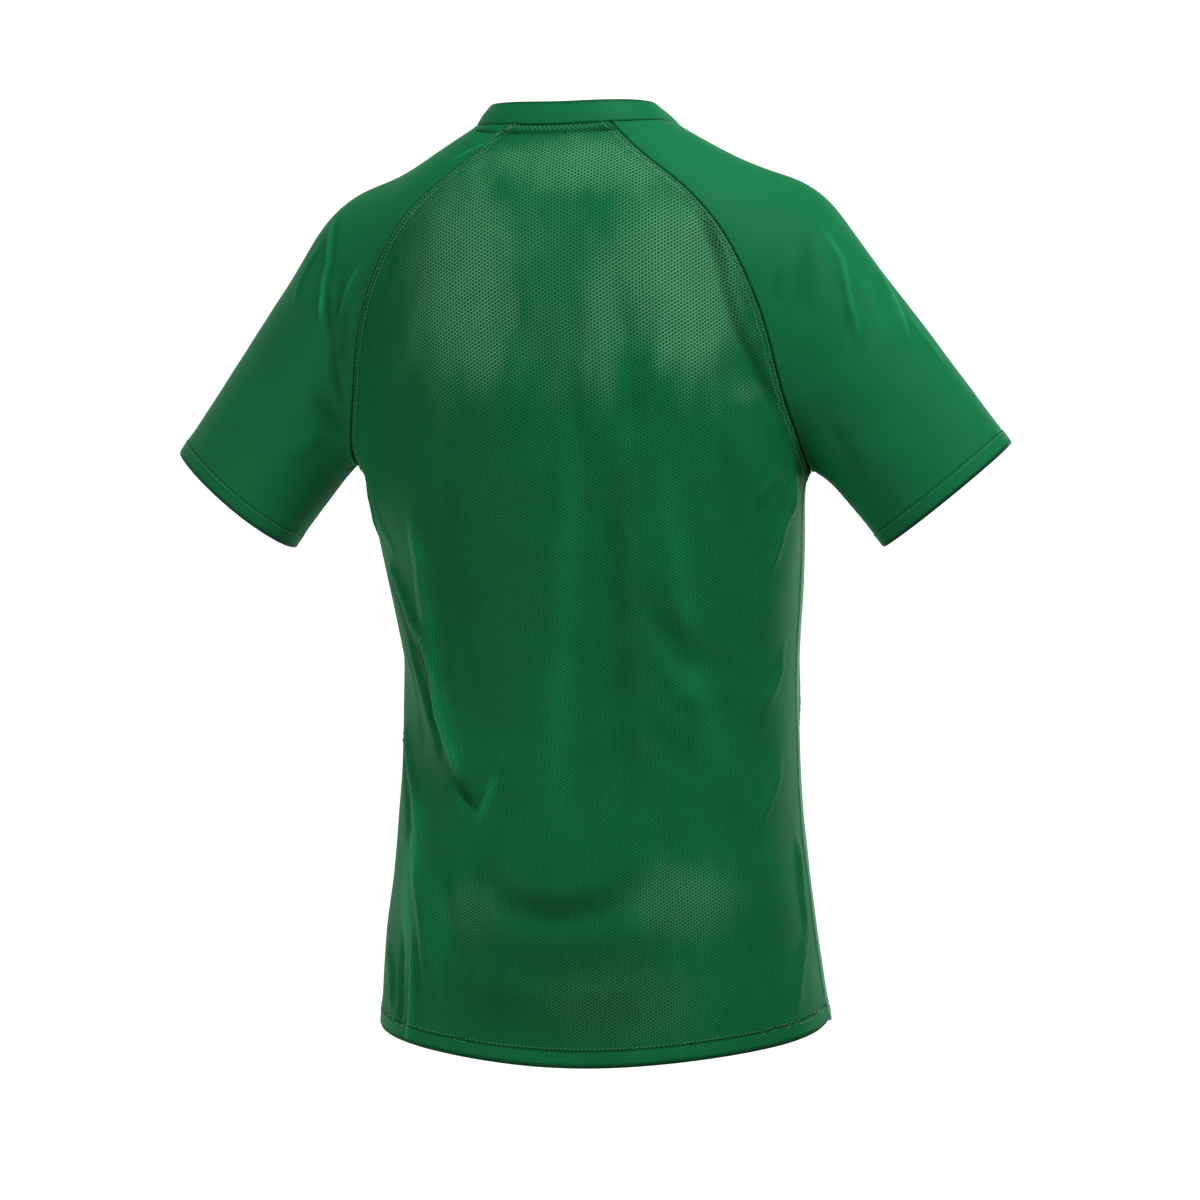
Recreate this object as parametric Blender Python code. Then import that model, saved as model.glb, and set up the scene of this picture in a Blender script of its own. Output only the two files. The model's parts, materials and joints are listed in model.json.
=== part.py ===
"""A short-sleeved raglan football jersey, filled out as it is worn, with nobody in it.

Five pieces are cut and sewn: an eyelet-knit back, a plain front, two raglan sleeves and a
folded crew collar. Each is a thin wall with a small gap to its neighbour at every seam.
Axes: +Z up, the front faces -Y, +X is the wearer's left. The origin is the middle of the
shoulder line at the base of the neck, where the wearer's shoulders carry the jersey.
Sizes are in millimetres; the meshes are in metres.
"""

import math

import bmesh
import bpy
import numpy as np

MM = 0.001

# Driving sizes.
CLOTH = 1.6  # wall of the single knitted cloth
COLLAR_CLOTH = 2.4  # wall of the collar, which is folded double
SEAM_GAP = 0.3  # between two pieces along a seam
ARMPIT_GAP = 1.2  # where four pieces meet in a tight corner
HEM_BAND = 13.5  # turned-up hem of the body
CUFF_BAND = 13.5  # turned-up hem of the sleeves
BAND_STEP = 0.7  # how far a turned-up hem stands proud of the single cloth
BAND_EDGE = 1.0  # over which the cloth steps out to it
COLLAR_HEIGHT = 17.5
COLLAR_BOW = 1.2  # how far the collar bows out between its edges
COLLAR_PROUD = 0.1  # the share of its wall that stands outside the neck seam
ARMPIT_ACROSS = 172.0
ARMPIT_DEPTH = -24.0
ARMPIT_HEIGHT = -259.0
TOP_OVER_ARMPIT = 278.0  # how far across the sleeve's top line is opposite the armpit
BODY_ROUNDNESS = 2.35  # exponent of the body's sections: 2 is an ellipse, more is squarer
ARM_BLEND = 24.0  # how softly the sleeves run into the body
HEM_SIDE = -673.0
HEM_BACK = -700.0
HEM_FRONT = -690.0

# Sections through the body, from above the neck to below the hem. half_width is across, back and
# front are where the section reaches on the middle line, middle is where it is widest, and sway
# is how far it has swung towards the wearer's right.
BODY_COLUMNS = ("height", "half_width", "back", "front", "middle", "sway")
BODY_ROWS = (
    (30, 55, 48, -44, 2, -3),
    (0, 63, 56, -50, 0, -2),
    (-6, 69, 59, -52, 0, -1),
    (-14, 81, 64, -55, -1, 0),
    (-30, 109, 74, -60, -3, 1),
    (-47, 134, 84, -67, -6, 2),
    (-62, 150, 91, -75, -8, 2),
    (-80, 161, 97, -86, -10, 1),
    (-110, 167, 103, -104, -13, 0),
    (-150, 168, 107, -122, -16, -1),
    (-200, 167, 107, -136, -19, -2),
    (-262, 166, 101, -144, -22, -1),
    (-330, 157, 90, -147, -27, 6),
    (-440, 149, 76, -148, -34, 9),
    (-520, 152, 76, -150, -35, 9),
    (-600, 161, 85, -153, -33, 10),
    (-680, 170, 86, -156, -33, 13),
    (-740, 174, 84, -158, -34, 14),
)

# Sections through a sleeve, square to the arm. reach is how far up and out from the arm's axis,
# and depth is towards the front and the back.
ARM_COLUMNS = ("along", "reach", "depth")
ARM_ROWS = (
    (-40, 68, 64),
    (0, 65, 63),
    (60, 63, 59),
    (130, 63, 53),
    (205, 62, 47),
    (260, 62, 44),
)
SHOULDER_JOINT = (144.0, -10.0, -117.0)
CUFF_CENTRE = (273.0, -40.0, -284.0)
# How much further out each cuff hangs than the sizes here say; 1 is the wearer's left.
SLEEVE_SWING = {1: 6.0, -1: -3.0}
SWING_FROM = -60.0  # the height where it starts
SWING_LENGTH = 220.0  # and how far below that it is whole
SWING_MOST = 1.3  # the most that it grows to further down

# Seams and edges on one side, as guides that are then laid on the form.
LINE_COLUMNS = ("across", "depth", "height")
RAGLAN_BACK_ROWS = (
    (38, 60, -15),
    (65, 70, -42),
    (90, 74, -59),
    (110, 74, -77),
    (127, 70, -100),
    (142, 64, -130),
    (152, 55, -157),
    (159, 42, -192),
    (164, 30, -218),
    (170, 12, -242),
    (ARMPIT_ACROSS, ARMPIT_DEPTH, ARMPIT_HEIGHT),
)
RAGLAN_FRONT_ROWS = (
    (45, -60, -50),
    (70, -68, -66),
    (94, -76, -84),
    (113, -80, -100),
    (129, -80, -120),
    (143, -76, -145),
    (152, -70, -168),
    (159, -62, -196),
    (164, -54, -220),
    (170, -42, -242),
    (ARMPIT_ACROSS, ARMPIT_DEPTH, ARMPIT_HEIGHT),
)
SLEEVE_TOP_ROWS = (
    (70, 0, -10),
    (111, -4, -31),
    (149, -8, -48),
    (190, -12, -67),
    (221, -18, -104),
    (250, -24, -142),
    (276, -30, -180),
    (300, -36, -213),
    (323.5, -40, -244.5),
)
UNDERARM_ROWS = (
    (ARMPIT_ACROSS, ARMPIT_DEPTH, ARMPIT_HEIGHT),
    (191, -29, -281),
    (208, -35, -301),
    (227, -40, -321.5),
)
# The neck seam and the collar on it, by the angle round the neck from the centre back. tilt is how
# far the collar leans in from upright. The first and last rows keep the curve level at 0 and 180.
NECK_COLUMNS = ("angle", "height", "tilt")
NECK_ROWS = (
    (-32, -14.5, 18),
    (0, -16, 14),
    (32, -14.5, 18),
    (60, -11.5, 32),
    (90, -10, 45),
    (115, -18, 52),
    (135, -36, 57),
    (155, -54, 60),
    (180, -61, 60),
    (205, -54, 60),
)

# The largest folds, as ridges (rise above zero) and troughs on the back (facing 1) or the front
# (-1). start, bend and end are across and height; lean makes one side of the ridge wider.
FOLD_COLUMNS = ("facing", "start", "bend", "end", "width", "rise", "lean")
FOLD_ROWS = (
    (1, (150, -320), (102, -415), (62, -512), 15, 6, -0.3),
    (1, (152, -360), (128, -440), (92, -520), 13, -5, 0),
    (1, (88, -285), (118, -345), (94, -400), 16, 3, 0),
    (1, (74, -492), (60, -515), (40, -528), 13, -4, 0),
    (1, (122, -535), (108, -600), (98, -668), 12, 4, 0),
    (1, (146, -560), (134, -610), (128, -662), 12, -3, 0),
    (1, (-104, -80), (-136, -150), (-152, -230), 17, -4, 0),
    (1, (108, -110), (134, -165), (146, -230), 15, -3, 0),
    (1, (-60, -125), (-66, -190), (-62, -262), 18, -3, 0),
    (1, (4, -120), (-2, -190), (8, -265), 18, -2.5, 0),
    (1, (60, -566), (-8, -600), (-76, -556), 16, -2.5, 0),
    (1, (-168, -290), (-164, -330), (-146, -372), 12, 3, 0),
    (1, (-100, -385), (-116, -412), (-132, -425), 13, -3, 0),
    (1, (-158, -470), (-152, -500), (-142, -530), 12, 3, 0),
    (1, (-190, -84), (-206, -130), (-198, -176), 14, -3, 0),
    (1, (186, -78), (182, -120), (190, -168), 13, 3, 0),
    (1, (176, -212), (196, -232), (216, -246), 14, -3, 0),
    (-1, (150, -318), (120, -400), (76, -470), 16, 5, 0),
    (-1, (-152, -312), (-126, -390), (-92, -455), 16, 5, 0),
    (-1, (104, -120), (132, -180), (142, -236), 16, -4, 0),
    (-1, (-106, -116), (-134, -176), (-146, -230), 16, -4, 0),
    (-1, (-62, -196), (0, -236), (66, -192), 18, -3, 0),
    (-1, (58, -440), (36, -540), (52, -650), 20, 4, 0),
    (-1, (-46, -468), (-70, -560), (-48, -655), 20, 4, 0),
    (-1, (118, -520), (124, -590), (108, -660), 16, -4, 0),
    (-1, (204, -120), (218, -160), (214, -206), 14, -3, 0),
    (-1, (-206, -112), (-214, -150), (-226, -190), 14, -3, 0),
)

# How finely the pieces are divided.
BACK_COLUMNS = 30
FRONT_COLUMNS = 20
SLEEVE_COLUMNS = 18
ROWS_TO_ARMPIT = 13
ROWS_BELOW_ARMPIT = 7
SIDE_ROWS = 23
COLLAR_ROWS = 2
FOLD_POINTS = 25
FOLD_END = 0.12  # how soon a fold's ends fade: 0 is from nothing, 0.5 is not at all
TRACE = 6  # points traced for each one kept
FINE = 400  # steps on a line that is cut up later
EASING = 6  # how near its ends a row is bent to meet its seams: more is nearer
LAYING_STEPS = 12
LAYING_REACH = 12.0  # the most that a point moves in one of them
LEAST_SLOPE = 0.05  # below which the form's gap isn't followed as steeply
PROBE = np.eye(3) * 0.5
# Keeps a sleeve's rows facing back where its seams meet. The right arm is turned out a little, so
# that its cuff reaches further down behind than in front.
BACKWARD = {1: np.array((0, 25.0, 0)), -1: np.array((-7.0, 25.0, 0))}
ARMPIT_FADE = 2.0  # rows over which the wider gap at the armpit closes
SHARP = 50.0  # degrees between faces that meet in a hard edge
UP = np.array((0.0, 0.0, 1.0))


def table(names, rows):
    """A table's columns by name."""
    return {name: np.array([row[i] for row in rows], float) for i, name in enumerate(names)}


BODY = table(BODY_COLUMNS, BODY_ROWS)
ARM = table(ARM_COLUMNS, ARM_ROWS)
NECK = table(NECK_COLUMNS, NECK_ROWS)


def column(table, name, at, key="height"):
    """A table's column at any places, on a smooth curve through its rows."""
    x, y = table[key], table[name]
    if x[0] > x[-1]:
        x, y = x[::-1], y[::-1]
    step = np.diff(x)
    slope = np.diff(y) / step
    tangent = np.empty_like(y)
    tangent[0], tangent[-1] = slope[0], slope[-1]
    tangent[1:-1] = (slope[:-1] * step[1:] + slope[1:] * step[:-1]) / (step[:-1] + step[1:])
    at = np.clip(np.asarray(at, float), x[0], x[-1])
    i = np.clip(np.searchsorted(x, at) - 1, 0, len(x) - 2)
    t = (at - x[i]) / step[i]
    return (
        y[i] * (1 + 2 * t) * (1 - t) ** 2
        + tangent[i] * step[i] * t * (1 - t) ** 2
        + y[i + 1] * t**2 * (3 - 2 * t)
        + tangent[i + 1] * step[i] * t**2 * (t - 1)
    )


def unit(v):
    """Vectors made one long."""
    return v / np.linalg.norm(v, axis=-1, keepdims=True)


def body_gap(p):
    """How far points are outside the body's section at their own height."""
    z = p[..., 2]
    x = p[..., 0] + column(BODY, "sway", z)
    middle = column(BODY, "middle", z)
    y = p[..., 1] - middle
    deep = np.where(y > 0, column(BODY, "back", z) - middle, middle - column(BODY, "front", z))
    n = BODY_ROUNDNESS
    ratio = (np.abs(x / column(BODY, "half_width", z)) ** n + np.abs(y / deep) ** n) ** (1 / n)
    radius = np.hypot(x, y)
    return radius - radius / np.maximum(ratio, 1e-6)


def swing(z, side):
    """How far across a sleeve has swung at a height, as a vector."""
    share = np.clip((SWING_FROM - z) / SWING_LENGTH, 0, SWING_MOST)
    return np.stack([side * SLEEVE_SWING[side] * share, 0 * share, 0 * share], axis=-1)


def arm_line(side):
    """Where a sleeve's axis starts, and its direction; side is 1 for the wearer's left, -1 for the right."""
    mirror = (side, 1.0, 1.0)
    start = np.array(SHOULDER_JOINT) * mirror
    return start, unit(np.array(CUFF_CENTRE) * mirror - start)


def arm_gap(p, side):
    """How far points are outside a sleeve's tube."""
    start, axis = arm_line(side)
    depth_axis = unit(np.cross(axis, UP))
    reach_axis = np.cross(depth_axis, axis)
    v = p - swing(p[..., 2], side) - start
    along = v @ axis
    a, b = v @ reach_axis, v @ depth_axis
    behind = np.minimum(along, 0)
    reach, depth = (column(ARM, name, along, "along") for name in ("reach", "depth"))
    ratio = np.sqrt((a / reach) ** 2 + (b / depth) ** 2 + (behind / reach) ** 2)
    radius = np.sqrt(a**2 + b**2 + behind**2)
    return radius - radius / np.maximum(ratio, 1e-6)


def blended(a, b, softness):
    """The union of two shapes' gaps, rounded where they meet."""
    h = np.clip(0.5 + 0.5 * (b - a) / softness, 0, 1)
    return b * (1 - h) + a * h - softness * h * (1 - h)


def form_gap(p):
    """How far points are outside the whole form that the cloth lies on."""
    gap = blended(body_gap(p), arm_gap(p, 1), ARM_BLEND)
    return blended(gap, arm_gap(p, -1), ARM_BLEND)


def form_slope(p):
    """How fast the form's gap grows at points, along each axis."""
    return np.stack([form_gap(p + s) - form_gap(p - s) for s in PROBE], axis=-1) / (2 * PROBE[0, 0])


def form_normal(p):
    """The form's outward direction at points on it."""
    return unit(form_slope(p))


def laid(points):
    """Points near the form, moved straight onto it."""
    points = np.array(points, float)
    for _ in range(LAYING_STEPS):
        slope = form_slope(points)
        steep = np.maximum((slope**2).sum(axis=-1), LEAST_SLOPE)
        move = -slope * (form_gap(points) / steep)[..., None]
        length = np.linalg.norm(move, axis=-1, keepdims=True)
        points += move * np.minimum(1, LAYING_REACH / np.maximum(length, 1e-9))
    return points


def body_point(angle, z, facing):
    """A point on the body's own section; the angle is from straight back or front towards the left."""
    middle = column(BODY, "middle", z)
    back, front = column(BODY, "back", z) - middle, middle - column(BODY, "front", z)
    deep = np.where(facing * np.cos(angle) > 0, back, front)
    n = BODY_ROUNDNESS
    across = np.abs(np.sin(angle) / column(BODY, "half_width", z)) ** n
    radius = (across + np.abs(np.cos(angle) / deep) ** n) ** (-1 / n)
    x = radius * np.sin(angle) - column(BODY, "sway", z)
    return np.stack([x, middle + facing * radius * np.cos(angle), z], axis=-1)


def eased(line, start, end):
    """A line with its ends moved to given points and the rest following less and less."""
    t = np.linspace(0, 1, len(line))[:, None]
    return line + (start - line[0]) * (1 - t) ** EASING + (end - line[-1]) * t**EASING


def lengths_along(line):
    """How far along a line each of its points is."""
    return np.concatenate([[0], np.cumsum(np.linalg.norm(np.diff(line, axis=0), axis=1))])


def guide(rows, count, side):
    """Evenly spread points on the smooth line through a seam's rows."""
    along = lengths_along(np.array(rows, float))
    keyed = {"along": along, **table(LINE_COLUMNS, rows)}
    fine = np.linspace(0, along[-1], TRACE * count)
    line = np.stack([column(keyed, name, fine, "along") for name in LINE_COLUMNS], axis=1)
    line = even(line, count) * (side, 1, 1)
    return line + swing(line[:, 2], side)


def even(line, count):
    """A traced line again, with count equal steps."""
    along = lengths_along(line)
    at = np.linspace(0, along[-1], count + 1)
    return np.stack([np.interp(at, along, line[:, k]) for k in range(line.shape[1])], axis=1)


def neck_angle(point):
    """How far round the neck a point is, in degrees from the centre back towards the left."""
    return math.degrees(math.atan2(point[0], point[1]))


def neck_seam(start, end, count):
    """Evenly spread points on the neck seam between two angles."""
    angle = np.linspace(start, end, TRACE * count + 1)
    turned = np.abs((angle + 180) % 360 - 180)
    z = column(NECK, "height", turned, "angle")
    line = body_point(np.radians(angle), z, 1)
    return even(laid(line), count)


def raglan(rows, side):
    """A raglan seam laid on the form, from the neck to the armpit."""
    line = laid(guide(rows, TRACE * ROWS_TO_ARMPIT, side))
    line[0] = neck_seam(neck_angle(line[0]), neck_angle(line[0]) + 1, 1)[0]
    line = even(line, ROWS_TO_ARMPIT)
    armpit = np.array((side * ARMPIT_ACROSS, ARMPIT_DEPTH, ARMPIT_HEIGHT))
    line[-1] = laid(armpit + swing(armpit[2], side))
    return line


def band_rows(start, end, count, band):
    """Heights from start to end, with a close pair of rows at the top of the turned-up band."""
    length = start - end
    upper = np.linspace(0, length - band - BAND_EDGE, count - 2)
    return start - np.concatenate([upper[1:], [length - band, length - band / 2, length]])


def side_seam(side):
    """A side seam laid on the form, from just below the armpit to the hem."""
    z = band_rows(ARMPIT_HEIGHT, HEM_SIDE, SIDE_ROWS, HEM_BAND)
    return laid(body_point(np.full(len(z), side * math.pi / 2), z, 1))


def body_rows(seam, facing, columns, bottom):
    """A body piece's rows from the neck to the hem, each from its right edge to its left edge.

    facing is +1 for the back and -1 for the front; bottom is the height of its hem on the middle
    line.
    """
    edges = {s: np.concatenate([raglan(seam, s), side_seam(s)]) for s in (-1, 1)}
    top = column(NECK, "height", 90 - 90 * facing, "angle")
    z_edge = (edges[1][:, 2] + edges[-1][:, 2]) / 2
    share = (z_edge - z_edge[0]) / (z_edge[-1] - z_edge[0])
    drop = (top - z_edge[0]) * (1 - share) ** 3 + (bottom - z_edge[-1]) * share**3
    rows = []
    for i, lowered in enumerate(drop):
        ends = np.array([edges[-1][i], edges[1][i]])
        across = ends[:, 0] + column(BODY, "sway", ends[:, 2])
        outward = facing * (ends[:, 1] - column(BODY, "middle", ends[:, 2]))
        angle = np.linspace(*np.arctan2(across, outward), columns * TRACE + 1)
        t = np.linspace(-1, 1, len(angle))
        z = ends[0][2] * (1 - t) / 2 + ends[1][2] * (1 + t) / 2 + lowered * np.cos(t * math.pi / 2)
        line = laid(eased(body_point(angle, z, facing), *ends))
        line[0], line[-1] = ends
        rows.append(even(line, columns))
    right, left = neck_angle(rows[0][0]), neck_angle(rows[0][-1])
    rows[0] = neck_seam(right % 360 if facing < 0 else right, left, columns)
    return np.array(rows)


def sleeve_rows(side):
    """A sleeve's rows from the neck to the cuff, each from its back edge over the top to its front."""
    back, front = raglan(RAGLAN_BACK_ROWS, side), raglan(RAGLAN_FRONT_ROWS, side)
    below = laid(guide(UNDERARM_ROWS, FINE, side))
    below[0] = back[-1]
    over = laid(guide(SLEEVE_TOP_ROWS, FINE, side))
    split = int(np.argmin(np.abs(over[:, 0] * side - TOP_OVER_ARMPIT)))
    lengths = band_rows(0.0, -lengths_along(below)[-1], ROWS_BELOW_ARMPIT, CUFF_BAND)
    kept = np.round(np.concatenate([[0], lengths / lengths[-1]]) * FINE).astype(int)
    under = even(below, FINE)[kept]
    outer = even(over[split:], FINE)[kept]
    top = np.concatenate([even(over[: split + 1], ROWS_TO_ARMPIT), outer[1:]])
    back = np.concatenate([back, under[1:]])
    front = np.concatenate([front, under[1:]])
    start, axis = arm_line(side)
    rows = []
    for i in range(len(top)):
        closing = min(1.0, i / ROWS_TO_ARMPIT) ** 2
        seam = (back[i] + front[i]) / 2
        centre = seam + (top[i] - seam) * closing / 2
        up = top[i] - centre
        backward = back[i] - front[i] + BACKWARD[side]
        backward = unit(backward - up * (backward @ up) / (up @ up))
        half = np.linalg.norm(back[i] - front[i]) / 2
        wide = max(half, closing * column(ARM, "depth", (centre - start) @ axis, "along"))
        last = math.acos(-closing / (2 - closing))
        turn = np.linspace(last, -last, SLEEVE_COLUMNS * TRACE + 1)[:, None]
        arc = centre + np.cos(turn) * up + np.sin(turn) * backward * wide
        line = laid(eased(arc, back[i], front[i]))
        line[0], line[-1] = back[i], front[i]
        rows.append(even(line, SLEEVE_COLUMNS))
    rows[0] = neck_seam(neck_angle(back[0]), neck_angle(front[0]), SLEEVE_COLUMNS)
    return np.array(rows)


def fold_line(facing, start, bend, end):
    """A fold's crest laid on the form, through its start, near its bend, to its end."""
    t = np.linspace(0, 1, FOLD_POINTS)[:, None]
    start, bend, end = (np.array(place, float) for place in (start, bend, end))
    x, z = ((1 - t) ** 2 * start + 2 * t * (1 - t) * bend + t**2 * end).T
    half_width = column(BODY, "half_width", z)
    angle = np.arcsin(np.clip((x + column(BODY, "sway", z)) / half_width, -0.99, 0.99))
    guess = body_point(angle, z, facing)
    guess[:, 0] = x
    return laid(guess)


def fold_rise(points, line, width, rise, lean):
    """How far one fold lifts points: a rounded ridge that fades at both ends and may lean to a side."""
    away = points[..., None, :] - line
    near = np.argmin(np.linalg.norm(away, axis=-1), axis=-1)
    offset = np.take_along_axis(away, near[..., None, None], axis=-2)[..., 0, :]
    distance = np.linalg.norm(offset, axis=-1)
    tangent = np.gradient(line, axis=0)[near]
    side = np.sign(np.cross(tangent, offset) @ np.array((0.0, 1.0, 0.0)))
    spread = width * (1 + lean * side)
    share = near / (len(line) - 1)
    fade = np.sin(np.pi * (FOLD_END + (1 - 2 * FOLD_END) * share))
    return rise * fade * np.exp(-((distance / spread) ** 2))


def folded(points):
    """Points on the form, moved out or in by the folds."""
    shift = np.zeros(points.shape[:-1])
    for row in FOLD_ROWS:
        fold = dict(zip(FOLD_COLUMNS, row))
        line = fold_line(fold["facing"], fold["start"], fold["bend"], fold["end"])
        shift += fold_rise(points, line, fold["width"], fold["rise"], fold["lean"])
    return points + form_normal(points) * shift[..., None]


def parted(grid):
    """A piece's grid with its sewn edges drawn back by half the seam gap, and more at the armpit."""
    grid = grid.copy()
    near = np.exp(-(((np.arange(len(grid)) - ROWS_TO_ARMPIT) / ARMPIT_FADE) ** 2))[:, None]
    half = (SEAM_GAP + (ARMPIT_GAP - SEAM_GAP) * near) / 2
    for edge, inner in ((0, 1), (-1, -2)):
        grid[:, edge] += unit(grid[:, inner] - grid[:, edge]) * half
    grid[0] += unit(grid[1] - grid[0]) * SEAM_GAP / 2
    return grid


def walled(name, outer, inner, closed_from, material):
    """A closed wall between two grids; rows from closed_from on join their last point to their first."""
    rows, columns = outer.shape[:2]
    mesh = bmesh.new()
    layers = []
    for grid in (outer, inner):
        made = [[mesh.verts.new(p * MM) for p in row] for row in grid]
        for row in made[closed_from:]:
            mesh.verts.remove(row[-1])
            row[-1] = row[0]
        layers.append(made)
    skin, lining = layers
    partner = {}
    for made, other in zip(skin, lining):
        partner.update(zip(made, other))
    for i in range(rows - 1):
        for j in range(columns - 1):
            corners = (skin[i][j], skin[i][j + 1], skin[i + 1][j + 1], skin[i + 1][j])
            mesh.faces.new(corners)
            mesh.faces.new([partner[v] for v in reversed(corners)])
    rims = [e for e in mesh.edges if e.is_boundary and e.verts[0] in partner]
    for edge in rims:
        a, b = edge.verts
        mesh.faces.new((a, b, partner[b], partner[a]))
    bmesh.ops.recalc_face_normals(mesh, faces=mesh.faces)
    if mesh.calc_volume(signed=True) < 0:
        bmesh.ops.reverse_faces(mesh, faces=mesh.faces)
    data = bpy.data.meshes.new(name)
    mesh.to_mesh(data)
    mesh.free()
    data.shade_smooth()
    data.set_sharp_from_angle(angle=math.radians(SHARP))
    data.materials.append(material)
    thing = bpy.data.objects.new(name, data)
    bpy.context.scene.collection.objects.link(thing)
    return thing


def cloth(name, colour, roughness):
    """A dyed polyester knit."""
    material = bpy.data.materials.new(name)
    material.use_nodes = True
    shader = material.node_tree.nodes["Principled BSDF"]
    shader.inputs["Base Color"].default_value = (*colour, 1)
    shader.inputs["Roughness"].default_value = roughness
    shader.inputs["Metallic"].default_value = 0.0
    return material


def panel(name, grid, closed_from, material):
    """One cut piece: a wall of single cloth with its bottom rows turned up, standing proud."""
    grid = parted(grid)
    out = form_normal(grid)
    skin = folded(grid)
    inner = skin - out * CLOTH
    skin[-3:] += out[-3:] * BAND_STEP
    return walled(name, skin, inner, closed_from, material)


def collar(base, material):
    """The crew collar: a band round the neck that leans in, least at the back and most at the front."""
    ring = folded(base)
    inward = -unit((ring - ring.mean(axis=0)) * (1, 1, 0))
    round_neck = np.abs([neck_angle(p) for p in base])
    tilt = np.radians(column(NECK, "tilt", round_neck, "angle"))[:, None]
    rise = UP * np.cos(tilt) + inward * np.sin(tilt)
    across = UP * np.sin(tilt) - inward * np.cos(tilt)
    out = form_normal(base)
    tangent = np.roll(ring, -1, axis=0) - np.roll(ring, 1, axis=0)
    clear = unit(np.cross(tangent, out))
    clear *= np.sign((clear * rise).sum(axis=1, keepdims=True))
    outer, inner = [], []
    for share in np.linspace(0, 1, COLLAR_ROWS + 1):
        thick = unit(out * (1 - share) + across * share)
        bow = COLLAR_BOW * math.sin(share * math.pi)
        middle = ring + clear * SEAM_GAP / 2 + rise * COLLAR_HEIGHT * share + thick * bow
        outer.append(middle + thick * COLLAR_CLOTH * COLLAR_PROUD)
        inner.append(middle - thick * COLLAR_CLOTH * (1 - COLLAR_PROUD))
    outer = np.concatenate([outer, np.array(outer)[:, :1]], axis=1)
    inner = np.concatenate([inner, np.array(inner)[:, :1]], axis=1)
    return walled("collar", outer, inner, 0, material)


def build():
    """The whole jersey."""
    for thing in list(bpy.data.objects):
        bpy.data.objects.remove(thing)
    mesh_knit = cloth("eyelet_knit", (0.010, 0.095, 0.032), 0.75)
    plain_knit = cloth("plain_knit", (0.011, 0.120, 0.045), 0.65)
    back = body_rows(RAGLAN_BACK_ROWS, 1, BACK_COLUMNS, HEM_BACK)
    front = body_rows(RAGLAN_FRONT_ROWS, -1, FRONT_COLUMNS, HEM_FRONT)
    sleeves = {side: sleeve_rows(side) for side in (1, -1)}
    panel("back", back, len(back), mesh_knit)
    panel("front", front, len(front), plain_knit)
    for side, name in ((1, "sleeve_left"), (-1, "sleeve_right")):
        grid = sleeves[side]
        grid[ROWS_TO_ARMPIT] += unit(grid[ROWS_TO_ARMPIT + 1] - grid[ROWS_TO_ARMPIT]) * ARMPIT_GAP
        panel(name, grid, ROWS_TO_ARMPIT, plain_knit)
    ring = [back[0], sleeves[1][0], front[0][::-1], sleeves[-1][0][::-1]]
    collar(np.concatenate([part[:-1] for part in ring]), plain_knit)


build()
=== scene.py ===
import json
import math

import bpy
import numpy as np
from mathutils import Matrix, Vector, noise
from mathutils.bvhtree import BVHTree
from mathutils.kdtree import KDTree

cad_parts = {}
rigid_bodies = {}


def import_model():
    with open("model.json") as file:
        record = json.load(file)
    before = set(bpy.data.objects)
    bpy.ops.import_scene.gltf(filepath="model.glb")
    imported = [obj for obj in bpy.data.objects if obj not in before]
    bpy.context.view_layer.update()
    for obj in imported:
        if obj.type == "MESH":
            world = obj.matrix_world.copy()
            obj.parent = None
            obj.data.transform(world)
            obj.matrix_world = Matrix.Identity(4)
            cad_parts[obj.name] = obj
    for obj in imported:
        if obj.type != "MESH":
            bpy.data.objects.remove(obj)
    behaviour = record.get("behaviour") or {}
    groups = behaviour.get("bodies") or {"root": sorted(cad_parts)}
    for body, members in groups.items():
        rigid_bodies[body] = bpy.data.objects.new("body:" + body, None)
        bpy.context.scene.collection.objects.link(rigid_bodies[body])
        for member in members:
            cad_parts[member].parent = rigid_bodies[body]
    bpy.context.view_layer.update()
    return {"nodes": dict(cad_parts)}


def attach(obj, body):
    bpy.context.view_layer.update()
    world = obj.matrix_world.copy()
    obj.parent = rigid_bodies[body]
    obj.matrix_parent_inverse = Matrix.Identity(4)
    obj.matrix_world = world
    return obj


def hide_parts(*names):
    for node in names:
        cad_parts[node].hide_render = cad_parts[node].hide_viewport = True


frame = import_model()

mm = 0.001
scene = bpy.context.scene


def linear(hexColour):
    # an sRGB hex colour as the linear colour that the shaders take
    parts = [int(hexColour[i:i + 2], 16) / 255 for i in (1, 3, 5)]
    return tuple(c / 12.92 if c <= 0.04045 else ((c + 0.055) / 1.055) ** 2.4 for c in parts) + (1.0,)


def placed(name, data):
    # a new object in the scene
    thing = bpy.data.objects.new(name, data)
    scene.collection.objects.link(thing)
    return thing


def deselectAll():
    if bpy.context.object and bpy.context.object.mode != "OBJECT":
        editing(False)
    for thing in scene.objects:
        thing.select_set(False)


def workOn(piece):
    deselectAll()
    piece.select_set(True)
    bpy.context.view_layer.objects.active = piece


def editing(on=True):
    bpy.ops.object.mode_set(mode="EDIT" if on else "OBJECT")


def allPicked():
    bpy.ops.mesh.select_all(action="SELECT")


def nothingPicked(piece, kind):
    # deselects all the piece's parts, ready for a selection made in code
    workOn(piece)
    editing()
    bpy.ops.mesh.select_mode(type=kind)
    bpy.ops.mesh.select_all(action="DESELECT")
    editing(False)


def applied(piece, kind, **settings):
    # adds a modifier and applies it at once
    workOn(piece)
    modifier = piece.modifiers.new(kind.title(), kind)
    for key, value in settings.items():
        setattr(modifier, key, value)
    bpy.ops.object.modifier_apply(modifier=modifier.name)


def read(parts, name, wide=3):
    # one value of every vertex, face or loop, as rows of numbers
    flat = np.empty(len(parts) * wide)
    parts.foreach_get(name, flat)
    return flat.reshape(-1, wide)


def points(mesh):
    return read(mesh.vertices, "co")


def outward(mesh):
    return read(mesh.vertex_normals, "vector")


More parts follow.
